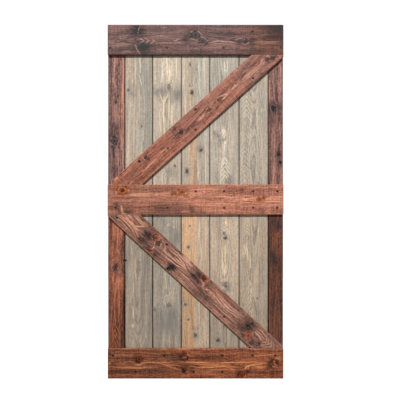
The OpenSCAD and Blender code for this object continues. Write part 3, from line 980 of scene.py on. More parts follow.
LOOKS = {
    "top_rail": {
        "seed": 11, "colors": BROWN, "ring": 6.0, "pith": 30, "wander": 70,
        "contrast": 0.5, "streaks": 1.7, "lines": 1.5,
        "knots": [(530, 27, 22, 1.1, 0), (571, -7, 16, 1.2, 0), (833, -10, 13, 1.2, 0)],
        "smoke": [(181, 52, 48, 36, 1.5), (130, 47, 42, 20, 0.6), (215, -50, 50, 38, 1.2),
                  (205, -76, 38, 18, 0.8), (265, -60, 32, 28, 0.4), (473, 7, 24, 32, 0.85),
                  (500, 30, 24, 30, 0.6), (590, -20, 32, 26, 0.6), (545, -60, 50, 24, 0.35),
                  (795, -12, 24, 12, 0.7), (873, 3, 18, 10, 0.7), (873, -45, 16, 38, 0.65),
                  (1050, 84, 40, 14, 0.6), (1020, 62, 80, 34, 0.6), (1056, 0, 18, 80, 0.5),
                  (700, 50, 70, 20, 0.3)],
        "dark_lines": [(4, 0.9, 505, 35, 530, 43, 554, 35), (4, 0.8, 530, 43, 533, 18),
                       (3, 0.7, 165, 24, 195, 16, 226, 2), (3, 0.6, 560, 12, 590, 4, 606, -6),
                       (3, 0.6, 590, -28, 640, -24), (3, 0.5, 280, 30, 460, 28)],
        "flames": [(4.5, 1.1, 194, 82, 180, 34), (4.5, 1.0, 166, -30, 178, -60, 200, -88),
                   (4, 1.0, 608, -20, 640, -14, 672, -10, 720, -12, 780, -21),
                   (3, 0.6, 610, -28, 700, -24, 780, -34), (4, 0.8, 500, 44, 515, 50, 548, 50, 558, 40),
                   (3, 0.6, 505, 8, 530, 2, 550, 10), (4, 0.9, 812, -22, 826, -28, 842, -25),
                   (3, 0.6, 770, 0, 800, 6, 822, 2), (3, 0.7, 885, -14, 960, -12, 1045, -14),
                   (3, 0.5, 890, -25, 1000, -22, 1050, -26), (3, 0.4, 900, 30, 1040, 28),
                   (3, 0.5, 5, -22, 80, -26, 150, -28), (3, 0.5, 5, -32, 120, -34),
                   (3, 0.5, 260, 20, 380, 22), (3, 0.5, 265, 9, 390, 14),
                   (3, 0.5, 290, -18, 420, -22), (3, 0.4, 60, 20, 160, 26)],
        "chevrons": [(217, -7, -30, 22, 3.5, 1.0, 3, 33), (402, -7, 45, 16, 3.5, 1.0, 1, 0),
                     (55, -9, 45, 12, 3, 0.8, 1, 0), (602, -7, -26, 20, 3.5, 1.0, 1, 0),
                     (589, -7, -22, 15, 3, 0.7, 1, 0)],
        "bands": [(860, 1120, -100, 100, -0.18, 0.75), (960, 1120, 0, 130, -0.5, 0.3),
                  # Painted shade: the first band below makes the top rail's lower edge darker and warmer,
                  # standing in for its underside in shadow.
                  (-60, 1120, -130, -85, -0.5, 0.9), (0, 1060, 68, 90, -0.06, 0.0),
                  (0, 120, -90, 90, 0.04, 0.0)],
    },
    "middle_rail": {
        "seed": 23, "colors": RED, "ring": 5.5, "pith": 60, "wander": 60,
        "contrast": 0.35, "streaks": 1.4, "lines": 1.3,
        "knots": [(87, 57, 24, 1.25, 1), (447, 44, 16, 1.5, 1), (396, 34, 9, 1.4, 0.8),
                  (917, 3, 12, 1.8, 1)],
        "smoke": [(90, 54, 15, 13, 1.0), (114, 34, 13, 9, 1.0), (55, -32, 18, 16, 0.8),
                  (70, -70, 18, 26, 0.7), (125, -75, 28, 20, 0.85), (336, -57, 76, 26, 0.8),
                  (420, -70, 40, 18, 0.6), (505, -60, 28, 26, 0.6), (477, 27, 11, 9, 0.85),
                  (795, 57, 36, 6, 0.7), (943, 12, 9, 12, 0.85), (930, -65, 24, 18, 0.5),
                  (990, 62, 50, 8, 0.4), (1040, -72, 26, 14, 0.4), (560, -84, 60, 6, 0.4),
                  (200, 66, 70, 14, 0.35), (440, 62, 34, 10, 0.5)],
        "dark_lines": [(3, 0.9, 2, 10, 110, 10, 225, 9), (2.5, 0.5, 225, 9, 420, 4),
                       (2.5, 0.6, 240, 48, 340, 52), (3, 0.6, 60, 40, 75, 34, 96, 30),
                       (2.5, 0.5, 480, 8, 700, 4, 800, 2), (3, 0.6, 405, 26, 432, 24),
                       (2.5, 0.4, 600, -46, 900, -50), (2.5, 0.5, 420, 66, 560, 70)],
        "flames": [(4, 1.0, 121, 30, 200, 34, 270, 38), (3, 0.8, 125, 24, 230, 22, 280, 27),
                   (8, 1.0, 288, 30, 302, 30), (3, 0.6, 310, 34, 380, 38), (3, 0.6, 320, 24, 390, 24),
                   (7, 1.3, 79, -40, 87, -60, 87, -74), (6, 1.3, 87, -74, 98, -88, 110, -90),
                   (4, 0.9, 87, -70, 72, -58), (5, 1.0, 425, 38, 450, 33, 470, 38),
                   (3.5, 0.8, 420, 58, 450, 62, 475, 56), (3, 0.7, 560, 14, 700, 16, 790, 12),
                   (6, 1.0, 812, 4, 826, 4, 848, 3), (3, 0.6, 850, 6, 890, 8),
                   (3, 0.6, 770, -2, 850, -4, 900, -8), (3.5, 0.9, 945, -14, 990, -12, 1056, -10),
                   (3, 0.6, 960, 12, 1055, 16), (3, 0.5, 600, -24, 760, -26),
                   (3, 0.5, 840, 72, 1050, 74), (3, 0.4, 130, -8, 420, -10), (3, 0.5, 480, 56, 700, 60)],
        "chevrons": [(760, 4, 50, 10, 3, 0.6, 1, 0)],
        "bands": [(480, 1080, -90, 90, 0.28, 0.0), (0, 110, -90, 90, -0.06, 0.0),
                  (0, 560, -90, -30, -0.12, -0.1), (120, 1000, 70, 90, -0.1, 0.0)],
    },
    "bottom_rail": {
        "seed": 37, "colors": ORANGE, "ring": 6.0, "pith": 35, "wander": 60,
        "contrast": 0.45, "streaks": 1.6, "lines": 1.6,
        "knots": [(191, 28, 16, 1.1, 0.6), (457, 55, 15, 1.3, 0.9), (463, -39, 13, 1.1, 0.5),
                  (806, -69, 17, 1.1, 1), (1021, 8, 14, 1.1, 0.5), (484, 38, 8, 1.2, 0.3)],
        "smoke": [(440, 40, 22, 16, 0.8), (405, 30, 24, 14, 0.5), (503, -38, 15, 10, 0.75),
                  (785, -55, 20, 12, 0.75), (846, -49, 24, 12, 0.75), (975, -6, 20, 24, 0.85),
                  (990, 25, 14, 16, 0.8), (520, 80, 24, 10, 0.6), (590, 66, 40, 16, 0.45),
                  (30, -20, 20, 50, 0.3), (620, 40, 90, 16, 0.3), (700, -50, 50, 12, 0.35),
                  (300, -50, 100, 20, 0.3), (190, 50, 24, 10, 0.4)],
        "dark_lines": [(12, 1.2, 426, 46, 444, 34, 463, 18), (6, 1.1, 168, 34, 176, 14, 198, 9),
                       (10, 1.2, 446, -26, 458, -42, 470, -58), (8, 1.1, 781, -76, 796, -50, 812, -49),
                       (9, 1.2, 966, -2, 982, 12, 1003, 32), (9, 1.1, 968, -6, 984, -18, 1001, -25),
                       (3, 0.7, 205, -8, 230, 0), (3, 0.7, 760, -62, 785, -58),
                       (8, 1.1, 474, 40, 486, 22), (3, 0.6, 480, -50, 520, -58),
                       (2.5, 0.4, 20, 30, 170, 28), (2.5, 0.4, 560, 20, 960, 24)],
        "flames": [(6, 0.9, 165, -6, 190, -4, 222, 2), (3, 1.0, 215, 9, 300, 5, 391, 12),
                   (3, 0.9, 30, -23, 150, -27, 252, -26), (3, 0.9, 60, -20, 200, -22, 308, -23),
                   (3.5, 1.0, 300, 8, 345, -7, 373, -14, 429, -37), (3, 0.8, 340, 2, 400, -8, 440, -18),
                   (4, 1.0, 480, 20, 500, 9, 560, 8, 623, 5), (3, 1.0, 623, 5, 760, 8, 957, 9),
                   (3.5, 1.0, 493, -14, 577, -23, 707, -18, 762, -37),
                   (3, 0.8, 560, -14, 700, -12, 800, -24),
                   (3.5, 1.0, 808, -37, 830, -30, 846, -14, 900, -16, 957, -18),
                   (3, 0.7, 500, -2, 620, -4, 740, -4), (3.5, 0.9, 820, -14, 900, -2, 960, 4),
                   (3, 0.7, 860, -24, 960, -24), (6, 1.0, 826, -30, 840, -16, 858, -8),
                   (4, 0.9, 846, -30, 850, -14), (5, 0.9, 478, 62, 492, 46, 488, 28),
                   (4, 0.8, 1005, 28, 1025, 34, 1045, 24), (3, 0.6, 600, -34, 800, -38),
                   (3, 0.5, 30, 50, 150, 56), (3, 0.6, 880, 50, 1040, 56), (6, 0.8, 5, 3, 20, 3),
                   (3, 0.5, 255, 60, 400, 64), (3, 0.4, 540, -60, 700, -64), (4, 0.7, 990, -20, 1010, -14)],
        "chevrons": [(170, 28, 30, 16, 3, 0.4, 1, 0)],
        "bands": [(480, 1080, -90, 90, 0.26, 0.2), (-60, 1080, -90, 90, 0.0, 0.2),
                  # Painted highlight: this band makes the bottom rail's top edge much lighter and cooler,
                  # standing in for its top face catching the light.
                  (-60, 1120, 90, 140, 3.2, -0.8)],
    },
    "upper_brace": {
        "seed": 41, "colors": UPPER, "ring": 6.0, "pith": 45, "wander": 60,
        "contrast": 0.4, "streaks": 1.5, "lines": 1.4, "end_ease": 1.0,
        "knots": [(218, 44, 6, 1.2, 0), (261, 38, 9, 1.2, 0), (265, 21, 7, 1.2, 0),
                  (503, 48, 10, 1.2, 0.2), (518, 7, 13, 1.1, 0), (485, 14, 5, 1.2, 0),
                  (677, 48, 4, 1.2, 0.3), (739, -7, 10, 1.4, 0.3), (820, -1, 9, 1.4, 0.2),
                  (964, 5, 6, 1.4, 0.4), (1202, -16, 12, 1.2, 0), (1236, -31, 13, 1.3, 0)],
        "smoke": [(1215, -24, 46, 18, 0.6), (1190, -8, 22, 12, 0.5), (512, 40, 32, 18, 0.55),
                  (520, 6, 24, 18, 0.55), (262, 30, 28, 20, 0.5), (740, -6, 22, 12, 0.4),
                  (400, 30, 90, 12, 0.25), (945, 12, 10, 8, 0.6), (150, 10, 60, 14, 0.25)],
        "dark_lines": [(4, 0.6, 310, 44, 400, 30, 490, 24), (3, 0.5, 60, 40, 220, 24),
                       (3, 0.4, 560, 20, 720, 16), (3, 0.4, 880, -30, 1100, -38),
                       (3, 0.5, 620, -40, 900, -44), (3, 0.5, 300, -28, 480, -30),
                       (3, 0.4, 900, 40, 1120, 36)],
        "flames": [(5, 1.0, 193, -16, 250, -14, 306, -15), (4, 0.8, 330, -4, 420, -8),
                   (4, 0.9, 246, 26, 250, 44, 264, 51), (5, 1.0, 497, 32, 498, 46, 512, 58),
                   (4, 0.9, 500, -8, 520, -12, 536, -6), (5, 0.8, 84, -18, 104, -16),
                   (5, 0.7, 770, 64, 810, 64), (4.5, 1.0, 643, -9, 670, -8, 704, 0),
                   (4, 0.9, 645, -14, 690, -12), (4, 0.9, 710, -6, 735, 8, 766, -3),
                   (4, 0.8, 712, -12, 738, -20, 766, -8), (4.5, 1.0, 838, 9, 860, 3, 888, -7),
                   (4.5, 1.0, 838, -13, 862, -13, 888, -7), (4, 0.9, 800, 6, 818, 13, 842, 8),
                   (5, 1.0, 915, -6, 945, -2, 972, 4), (3.5, 0.8, 925, -12, 975, -6),
                   (3, 0.7, 990, -8, 1060, -6, 1141, -8), (3, 0.6, 1000, -16, 1140, -22),
                   (4, 0.9, 1160, -2, 1175, 4, 1190, -2), (4, 0.8, 1212, 6, 1252, -8),
                   (7, 0.9, 28, 60, 60, 62), (4, 0.7, 70, 40, 160, 50), (3, 0.6, 90, 54, 260, 60),
                   (3, 0.5, 330, 60, 470, 62), (3, 0.4, 560, 40, 700, 44), (3, 0.4, 300, -40, 500, -44)],
        "chevrons": [],
        "bands": [(0, 500, -69, 69, 0.0, 0.35), (1000, 1300, -69, 69, 0.04, -0.4),
                  (0, 1300, -69, -40, 0.04, 0.1)],
    },
    "lower_brace": {
        "seed": 53, "colors": LOWER, "ring": 6.5, "pith": 35, "wander": 60,
        "contrast": 0.4, "streaks": 1.3, "lines": 1.4, "end_ease": 1.0,
        "knots": [(309, 32, 18, 1.0, 1), (339, 13, 14, 1.0, 0), (335, -56, 14, 1.0, 1),
                  (384, 47, 5, 1.2, 0.3), (500, -32, 10, 1.2, 0), (694, 51, 17, 1.0, 1),
                  (1117, -25, 17, 1.0, 1), (1199, -17, 9, 1.1, 0), (1083, 47, 5, 1.2, 0),
                  (1075, 13, 7, 1.2, 0)],
        "smoke": [(268, 8, 46, 42, 1.0), (262, -30, 42, 30, 0.85), (316, -44, 32, 22, 0.95),
                  (370, -46, 30, 26, 0.85), (390, -20, 20, 16, 0.4), (500, -30, 36, 24, 0.85),
                  (471, 68, 22, 8, 0.7), (656, 45, 46, 32, 1.0), (640, 18, 36, 26, 0.95),
                  (672, 8, 28, 16, 0.85), (730, 25, 20, 20, 0.6), (745, -20, 50, 26, 0.45),
                  (720, -54, 50, 14, 0.5), (1079, 22, 40, 36, 1.0), (1060, -10, 32, 28, 0.7),
                  (1090, -50, 26, 14, 0.7), (1165, -40, 32, 18, 0.65), (1230, -40, 42, 20, 0.5),
                  (1290, 0, 40, 50, 0.35), (30, -50, 40, 14, 0.4), (150, 62, 70, 6, 0.5)],
        "dark_lines": [(3.5, 0.8, 60, -12, 140, -12, 232, -32), (3.5, 0.7, 70, -36, 150, -33, 232, -50),
                       (3.5, 0.7, 110, 32, 170, 28, 206, 12), (3, 0.7, 440, 28, 520, 30, 572, 24),
                       (3, 0.7, 440, 0, 500, 2, 566, 10), (3, 0.7, 800, 27, 905, 9, 1012, 30),
                       (3, 0.5, 820, -11, 1000, -8), (3, 0.5, 830, -34, 1040, -32),
                       (3, 0.6, 120, 47, 220, 48), (3, 0.6, 430, 43, 600, 40),
                       (3, 0.7, 1140, 25, 1200, 20), (3, 0.6, 1140, 38, 1215, 36)],
        "flames": [(7, 1.0, 80, 6, 130, -2, 168, -4), (6, 1.0, 165, -4, 190, 16, 216, 41),
                   (5, 1.0, 150, -2, 190, -6, 216, -2), (4, 1.0, 50, -20, 110, -8, 180, -18, 242, -44),
                   (4, 0.9, 45, -30, 110, -22, 170, -32, 226, -54), (4, 0.8, 40, -46, 100, -38, 172, -48),
                   (4, 0.9, 118, 52, 170, 45, 226, 54), (4, 0.9, 124, 40, 170, 34, 206, 40),
                   (4, 0.8, 60, 24, 110, 20, 140, 10), (5, 1.0, 334, -10, 338, -22, 336, -36),
                   (5, 0.9, 318, 12, 328, 0, 336, -10), (4, 0.8, 352, 30, 364, 14, 354, -2),
                   (7, 1.0, 322, -64, 347, -54), (4, 1.0, 430, 37, 500, 37, 574, 18),
                   (4, 1.0, 430, 6, 500, 9, 574, 17), (4, 0.9, 470, 22, 530, 23, 574, 18),
                   (4, 0.9, 430, -12, 500, -7, 562, 6), (4, 0.8, 440, 51, 520, 49, 592, 30),
                   (3.5, 0.7, 530, -24, 600, -20, 640, -18), (4, 0.8, 393, 10, 420, 4),
                   (4, 0.8, 385, 30, 402, 16), (9, 0.7, 505, 62, 560, 62), (7, 0.6, 520, 50, 590, 55),
                   (8, 1.0, 700, 30, 709, 22, 714, 12), (5, 1.0, 680, 34, 692, 29),
                   (4, 0.9, 735, 20, 745, 9, 757, 18), (4, 0.9, 765, 4, 775, 14, 787, 6),
                   (4, 0.9, 790, 20, 800, 10, 814, 16), (3, 0.7, 730, -6, 760, -12, 790, -8),
                   (4, 1.0, 800, 37, 850, 21, 905, 15, 960, 21, 1020, 41), (7, 1.0, 888, 15, 922, 15),
                   (4, 0.9, 800, 18, 860, 5, 905, 2, 960, 5, 1000, 15),
                   (3.5, 0.7, 790, 48, 850, 34, 960, 34, 1000, 48), (3.5, 0.7, 800, -4, 900, -10, 1010, -4),
                   (3.5, 0.6, 810, -20, 900, -25, 1020, -21), (3.5, 0.6, 820, -48, 1000, -50),
                   (6, 1.0, 1124, -4, 1128, 8), (6, 1.0, 1132, 19, 1160, 19, 1192, 13),
                   (4, 1.0, 1135, 32, 1170, 33, 1202, 27), (4, 0.8, 1130, 46, 1180, 48, 1218, 36)],
        "chevrons": [(1225, 20, -30, 30, 3.5, 0.8, 4, 20), (560, -46, -40, 18, 3, 0.4, 3, 30)],
        "bands": [(0, 260, -69, 69, -0.02, 0.2), (400, 640, -69, 69, 0.14, -0.05),
                  (980, 1310, -69, 69, -0.12, -0.1)],
        "dents": [(489, 71, 10, 3.5), (465, 72, 6, 2.0), (489, -66, 10, 4.0)],
    },
    "left_stile": {
        "seed": 61, "colors": STILE, "ring": 6.0, "pith": 40, "wander": 40,
        "contrast": 0.45, "streaks": 1.8, "lines": 1.7,
        "knots": [(456, -3, 7, 1.3, 0), (699, -13, 20, 1.05, 0), (1464, -7, 14, 1.2, 0)],
        "smoke": [(430, 0, 50, 20, 0.45), (470, -5, 22, 16, 0.5), (615, -10, 40, 44, 0.65),
                  (660, -20, 30, 40, 0.65), (740, 12, 13, 10, 1.0), (745, -20, 26, 14, 0.8),
                  (800, -20, 50, 30, 0.45), (890, -20, 60, 30, 0.5), (1000, -20, 50, 30, 0.4),
                  (1440, 0, 40, 34, 0.55), (1490, 37, 28, 9, 0.85), (1510, 10, 26, 22, 0.65),
                  (1330, -10, 80, 20, 0.3), (1180, -30, 40, 10, 0.4), (1920, 28, 40, 18, 0.65),
                  (1700, -42, 200, 7, 0.5), (1350, 30, 100, 6, 0.35)],
        "dark_lines": [(3, 0.5, 200, -30, 400, -33, 600, -36), (3, 0.5, 200, 10, 420, 8),
                       (3, 0.6, 1560, -32, 1700, -20, 1900, -34), (3, 0.6, 1620, 0, 1860, 3),
                       (3, 0.5, 1200, 16, 1400, 14), (3, 0.5, 480, 20, 650, 24),
                       (3, 0.6, 672, 20, 698, 23, 726, 17), (3, 0.5, 820, -8, 1000, -6)],
        "flames": [(5, 0.8, 200, 42, 420, 40, 640, 42), (5, 0.9, 340, 35, 470, 34),
                   (4, 0.7, 640, 43, 800, 38, 960, 44), (5, 0.8, 318, -22, 350, -22),
                   (4, 0.8, 732, 24, 700, 30, 664, 24), (3.5, 0.6, 740, 34, 690, 38, 640, 32),
                   (3.5, 0.6, 180, -14, 300, -16), (3, 0.5, 500, -20, 600, -24),
                   (4, 0.7, 800, 10, 960, 14), (4, 0.9, 1180, 30, 1300, 34),
                   (5, 0.9, 1520, -22, 1560, -26), (4, 0.9, 1545, -26, 1640, -12, 1720, -26),
                   (4, 0.8, 1540, 20, 1570, 34, 1640, 38), (4, 0.8, 1600, -6, 1700, -12, 1790, -10),
                   (4, 0.7, 1180, -20, 1290, -14), (4, 0.7, 1220, 8, 1340, 4), (4, 0.7, 1400, 40, 1440, 42),
                   (3.5, 0.6, 1600, 14, 1760, 20), (3.5, 0.6, 1840, 24, 1960, 18)],
        "chevrons": [(1405, -5, 26, 34, 3.5, 0.6, 4, 13), (1800, -10, 70, 26, 3.5, 0.9, 4, 38),
                     (240, 0, 60, 22, 3, 0.4, 3, 40)],
        "bands": [(1130, 2200, -60, 60, 0.02, 1.25), (1580, 2200, -60, 60, -0.34, 0.3),
                  (1150, 2200, 40, 80, -0.4, 0.0),
                  (0, 700, 15, 51, 0.06, 0.3)],
    },
    "board_1": {
        "seed": 67, "colors": LIGHT, "ring": 7.0, "pith": 60, "wander": 50,
        "contrast": 0.35, "streaks": 0.7, "lines": 0.85,
        "knots": [(392, -63, 7, 1.2, 0), (608, 16, 5, 1.4, 0)],
        "smoke": [(409, -44, 30, 26, 0.65), (372, -30, 28, 24, 0.5), (360, -62, 22, 14, 0.45),
                  (600, 10, 24, 10, 0.35), (1400, -75, 50, 14, 0.6), (1380, -60, 60, 20, 0.4),
                  (1360, 0, 120, 24, 0.2)],
        "dark_lines": [(4, 0.4, 200, 46, 500, 50), (4, 0.35, 180, 66, 500, 68, 800, 62),
                       (4, 0.35, 560, 30, 900, 36), (4, 0.35, 1400, 62, 1960, 58),
                       (3, 0.35, 1450, 20, 1900, 26)],
        "flames": [(6, 1.0, 180, 12, 230, 8, 290, 10), (5, 1.0, 300, 4, 345, 14, 372, 10),
                   (4, 0.8, 380, 4, 560, 6), (4, 0.9, 620, 26, 700, 28),
                   (4, 0.7, 700, 18, 800, 14, 900, 16),
                   (3, 0.6, 180, -20, 420, -24), (3, 0.5, 450, -60, 900, -66),
                   (3, 0.5, 480, -30, 880, -36), (5, 0.9, 1403, -20, 1470, -23, 1552, -16),
                   (4, 0.8, 1330, -46, 1400, -40), (4, 0.8, 1560, -30, 1650, -40),
                   (5, 1.0, 1707, -36, 1775, -32), (10, 1.0, 1810, -37, 1828, -37),
                   (5, 0.7, 1850, 42, 1900, 44), (4, 0.6, 1640, -50, 1700, -52),
                   (4, 0.6, 1900, -30, 1960, -40), (4, 0.6, 1900, 10, 1960, 16),
                   (3, 0.5, 1500, 40, 1800, 44)],
        "chevrons": [],
        "bands": [(0, 1000, -90, -4, 0.0, 0.15), (0, 760, 0, 100, -0.18, -0.12),
                  (760, 1000, 0, 90, -0.05, 0.0), (1150, 2134, -90, 10, -0.24, 0.2),
                  (1150, 2134, 10, 90, -0.33, 0.05)],
    },
    "board_2": {
        "seed": 71, "colors": LIGHT, "ring": 7.0, "pith": 35, "wander": 70,
        "contrast": 0.45, "streaks": 0.7, "lines": 0.85,
        "knots": [(368, 13, 10, 1.1, 0.8), (851, 50, 6, 1.2, 0.3), (1694, 8, 11, 1.05, 0.8),
                  (1721, -77, 8, 1.2, 0.7)],
        "smoke": [(402, -50, 28, 36, 0.85), (394, 0, 22, 40, 0.65), (420, 60, 42, 28, 0.9),
                  (440, 30, 30, 30, 0.4), (852, 42, 14, 20, 0.4), (890, 28, 38, 34, 0.55),
                  (1187, -20, 30, 20, 0.85), (1160, -60, 30, 16, 0.5), (1230, -20, 26, 20, 0.4),
                  (1288, 55, 58, 34, 0.8), (1250, 30, 30, 24, 0.5), (1340, 40, 40, 30, 0.3),
                  (1755, -40, 54, 40, 0.9), (1750, 30, 60, 50, 0.9), (1805, 0, 56, 70, 0.8),
                  (1560, -50, 80, 20, 0.3)],
        "dark_lines": [(3, 0.4, 200, -60, 360, -62), (3, 0.4, 480, 60, 700, 64),
                       (3, 0.3, 1400, -60, 1700, -62)],
        "flames": [(5, 1.0, 240, 13, 300, 15, 350, 12), (4, 0.9, 180, -2, 300, 2),
                   (4, 0.8, 210, 30, 320, 24), (4, 0.8, 200, -30, 340, -28), (3, 0.7, 190, 55, 320, 60),
                   (5, 1.0, 442, -23, 520, -22, 600, -20), (4, 1.0, 400, -46, 425, -40, 464, -25),
                   (4, 1.0, 420, 8, 440, -6, 472, -20), (4, 0.9, 440, 14, 500, 10, 560, 14),
                   (4, 0.8, 470, -40, 560, -44, 640, -38), (4, 0.8, 480, 30, 600, 26),
                   (4, 0.7, 600, -18, 720, -14), (3.5, 0.6, 640, 16, 760, 12), (8, 1.0, 1202, 8, 1212, 8),
                   (6, 0.8, 1215, 40, 1230, 44), (5, 0.7, 1180, 36, 1195, 38),
                   (3.5, 0.6, 1500, -10, 1640, -4), (4, 0.5, 1840, -20, 1950, -26),
                   (4, 0.5, 1850, 10, 1960, 14), (3, 0.5, 1860, 50, 1960, 54)],
        "chevrons": [(1640, 5, -40, 36, 3, 0.6, 4, 20), (200, 10, 60, 40, 3, 0.4, 3, 30)],
        "bands": [(0, 370, -90, 90, 0.24, 0.1), (450, 1000, -90, 90, 0.12, 0.15),
                  (1150, 1700, -100, 100, -0.14, 0.1), (1760, 2134, -100, 100, -0.26, 0.1)],
    },
    "board_3": {
        "seed": 79, "colors": LIGHT, "ring": 8.0, "pith": 80, "wander": 40,
        "contrast": 0.3, "streaks": 0.7, "lines": 0.85,
        "knots": [(236, -32, 6, 1.2, 0), (365, -33, 4, 1.2, 0.5), (405, -23, 8, 1.4, 0),
                  (757, 35, 8, 1.1, 0), (841, -33, 4, 1.0, 0), (882, -53, 8, 1.2, 0),
                  (1214, -33, 5, 1.1, 0), (1343, -43, 7, 1.1, 0), (1687, -63, 7, 1.2, 0),
                  (1782, -43, 5, 1.2, 0), (1876, 1, 9, 1.2, 0)],
        "smoke": [(236, -30, 18, 10, 0.5), (330, -28, 60, 10, 0.4), (408, -20, 28, 16, 0.75),
                  (752, 28, 26, 22, 0.8), (886, -48, 28, 20, 0.65), (1197, 82, 22, 8, 0.7),
                  (1687, -60, 20, 14, 0.5), (1876, 4, 26, 18, 0.65), (1343, -42, 16, 10, 0.4),
                  (1600, 50, 100, 16, 0.3), (790, 20, 30, 16, 0.3)],
        "dark_lines": [(3, 0.4, 200, -12, 380, -12), (3, 0.4, 1560, -76, 1900, -78),
                       (3, 0.4, 1180, 8, 1460, 6), (3, 0.3, 700, 10, 940, 10)],
        "flames": [(4, 0.7, 180, -70, 380, -72), (4, 0.6, 420, -60, 560, -62),
                   (3.5, 0.6, 200, 20, 420, 24), (3.5, 0.6, 190, 50, 400, 56),
                   (4, 0.6, 760, 14, 940, 14), (4, 0.7, 720, 60, 960, 64), (5, 0.6, 1180, 24, 1300, 22),
                   (4, 0.6, 1320, 30, 1420, 40), (4, 0.5, 1500, 20, 1900, 26),
                   (4, 0.6, 1780, 50, 1940, 56), (3, 0.5, 1180, 60, 1400, 62)],
        "chevrons": [(1840, 20, 40, 30, 3, 0.4, 4, 26)],
        "bands": [(0, 700, -90, -8, 0.08, 0.15), (0, 700, 0, 90, 0.06, -0.1),
                  (380, 520, -60, -10, -0.04, 0.3), (670, 1000, -40, 14, 0.02, 0.75),
                  (690, 1000, -90, -34, 0.02, 0.1), (1120, 1480, -100, 5, 0.2, 1.1),
                  (1500, 2134, -100, -5, 0.0, 1.15), (1120, 2134, 5, 100, 0.06, 0.45),
                  (1650, 2134, -90, 90, -0.08, 0.0)],
    },
    "board_4": {
        "seed": 83, "colors": LIGHT, "ring": 7.0, "pith": 35, "wander": 60,
        "contrast": 0.45, "streaks": 0.7, "lines": 0.85,
        "knots": [(1261, -2, 7, 1.1, 0.8), (1288, 5, 9, 1.1, 0), (1569, 2, 12, 1.05, 0.9),
                  (1907, -39, 9, 1.2, 0)],
        "smoke": [(650, -56, 18, 16, 0.75), (670, -42, 18, 15, 0.85), (695, -24, 20, 15, 0.75),
                  (718, -30, 22, 16, 0.4), (936, 29, 32, 22, 0.95), (920, -50, 40, 26, 0.35),
                  (1288, 8, 18, 14, 0.5), (1245, -20, 40, 30, 0.3), (1588, 20, 26, 22, 0.85),
                  (1520, -60, 40, 20, 0.5), (1560, -30, 40, 20, 0.4), (1907, -38, 28, 20, 0.7),
                  (1190, -40, 50, 20, 0.35), (330, -50, 60, 20, 0.3)],
        "dark_lines": [(3, 0.4, 200, -60, 300, -62), (3, 0.3, 700, 60, 960, 62),
                       (3, 0.3, 1300, -60, 1500, -62), (3, 0.4, 1900, -10, 1960, -20)],
        "flames": [(5, 1.0, 220, 2, 250, 2, 284, 2), (8, 1.0, 258, 2, 276, 2),
                   (3.5, 0.8, 200, -12, 250, -16, 300, -6), (3.5, 0.8, 200, 14, 250, 18, 300, 8),
                   (4, 1.0, 626, -5, 640, -13, 656, -17), (4, 1.0, 626, -5, 640, 3, 656, 9),
                   (4, 1.0, 656, -17, 682, -4, 656, 9), (5, 1.0, 640, -5, 662, -5),
                   (6, 1.0, 700, 2, 718, 2), (4, 0.7, 716, 2, 770, 0), (4, 0.8, 1330, 6, 1430, 4, 1530, 0),
                   (3.5, 0.7, 1340, -12, 1500, -10), (7, 1.0, 1186, 8, 1202, 8),
                   (3.5, 0.6, 1180, 30, 1280, 34), (4, 0.7, 1540, -14, 1555, -20),
                   (3, 0.5, 1800, 20, 1940, 24), (3.5, 0.6, 720, 30, 800, 34)],
        "chevrons": [(800, 3, 46, 30, 4, 1.0, 5, 26), (1225, 0, -30, 34, 3, 0.5, 3, 20),
                     (330, 2, 60, 30, 3, 0.6, 3, 30), (1640, 4, 60, 34, 3, 0.4, 4, 34)],
        "bands": [(0, 400, -100, 100, 0.0, -0.2), (600, 1000, -100, 100, 0.14, 0.0),
                  (1150, 1680, -100, 100, 0.16, 0.35), (1700, 2134, -100, 100, -0.2, 0.25)],
    },
    "board_5": {
        "seed": 89, "colors": LIGHT, "ring": 7.0, "pith": 45, "wander": 60,
        "contrast": 0.45, "streaks": 0.7, "lines": 0.85,
        "knots": [(1653, 24, 4, 1.3, 0.3), (955, 28, 4, 1.2, 0.3)],
        "smoke": [(622, -49, 38, 14, 0.4), (560, 60, 140, 14, 0.3), (300, 40, 100, 20, 0.25),
                  (1180, -70, 40, 10, 0.3), (1500, 50, 160, 14, 0.25), (200, -70, 40, 20, 0.3)],
        "dark_lines": [(3, 0.3, 500, -10, 900, -12), (3, 0.3, 1400, 70, 1800, 72)],
        "flames": [(5, 1.0, 1322, -56, 1360, -52, 1400, -56), (5, 1.0, 1316, -42, 1360, -40, 1426, -30),
                   (4, 0.9, 1350, -66, 1400, -66), (4, 0.9, 1395, -22, 1470, -18),
                   (6, 1.0, 1590, -14, 1626, -14), (4, 0.9, 1546, -24, 1580, -18),
                   (4, 0.8, 1640, -20, 1700, -10), (4, 0.7, 1700, -8, 1760, -14, 1840, -10),
                   (3.5, 0.5, 480, 20, 760, 24), (3, 0.4, 500, 50, 900, 54), (3, 0.4, 1180, 30, 1400, 34),
                   (3.5, 0.5, 1420, 20, 1700, 24)],
        "chevrons": [(400, -44, 46, 32, 3, 0.8, 6, 27), (590, -50, 50, 32, 3, 0.5, 4, 31),
                     (730, -54, 44, 34, 3, 0.55, 8, 29), (1165, -40, 36, 26, 3.5, 0.8, 5, 20),
                     (1560, -20, 50, 24, 3.5, 0.6, 8, 34)],
        "bands": [(0, 1000, 0, 100, 0.02, 0.0), (1150, 2134, -100, 100, -0.07, 0.3),
                  (1700, 2134, -100, 100, -0.1, 0.0)],
    },
    "right_stile": {
        "seed": 97, "colors": STILE, "ring": 6.0, "pith": 45, "wander": 40,
        "contrast": 0.4, "streaks": 1.7, "lines": 1.5,
        "knots": [(497, -15, 11, 1.1, 0), (780, 19, 7, 1.2, 0), (828, 29, 7, 1.2, 0)],
        "smoke": [(497, -10, 46, 44, 1.0), (500, 22, 22, 20, 0.75), (468, -20, 20, 20, 0.75),
                  (564, -18, 36, 26, 0.65), (780, 18, 36, 18, 0.75), (830, 26, 32, 20, 0.75),
                  (800, 0, 60, 26, 0.4), (1214, 19, 28, 22, 0.9), (1190, -10, 40, 20, 0.5),
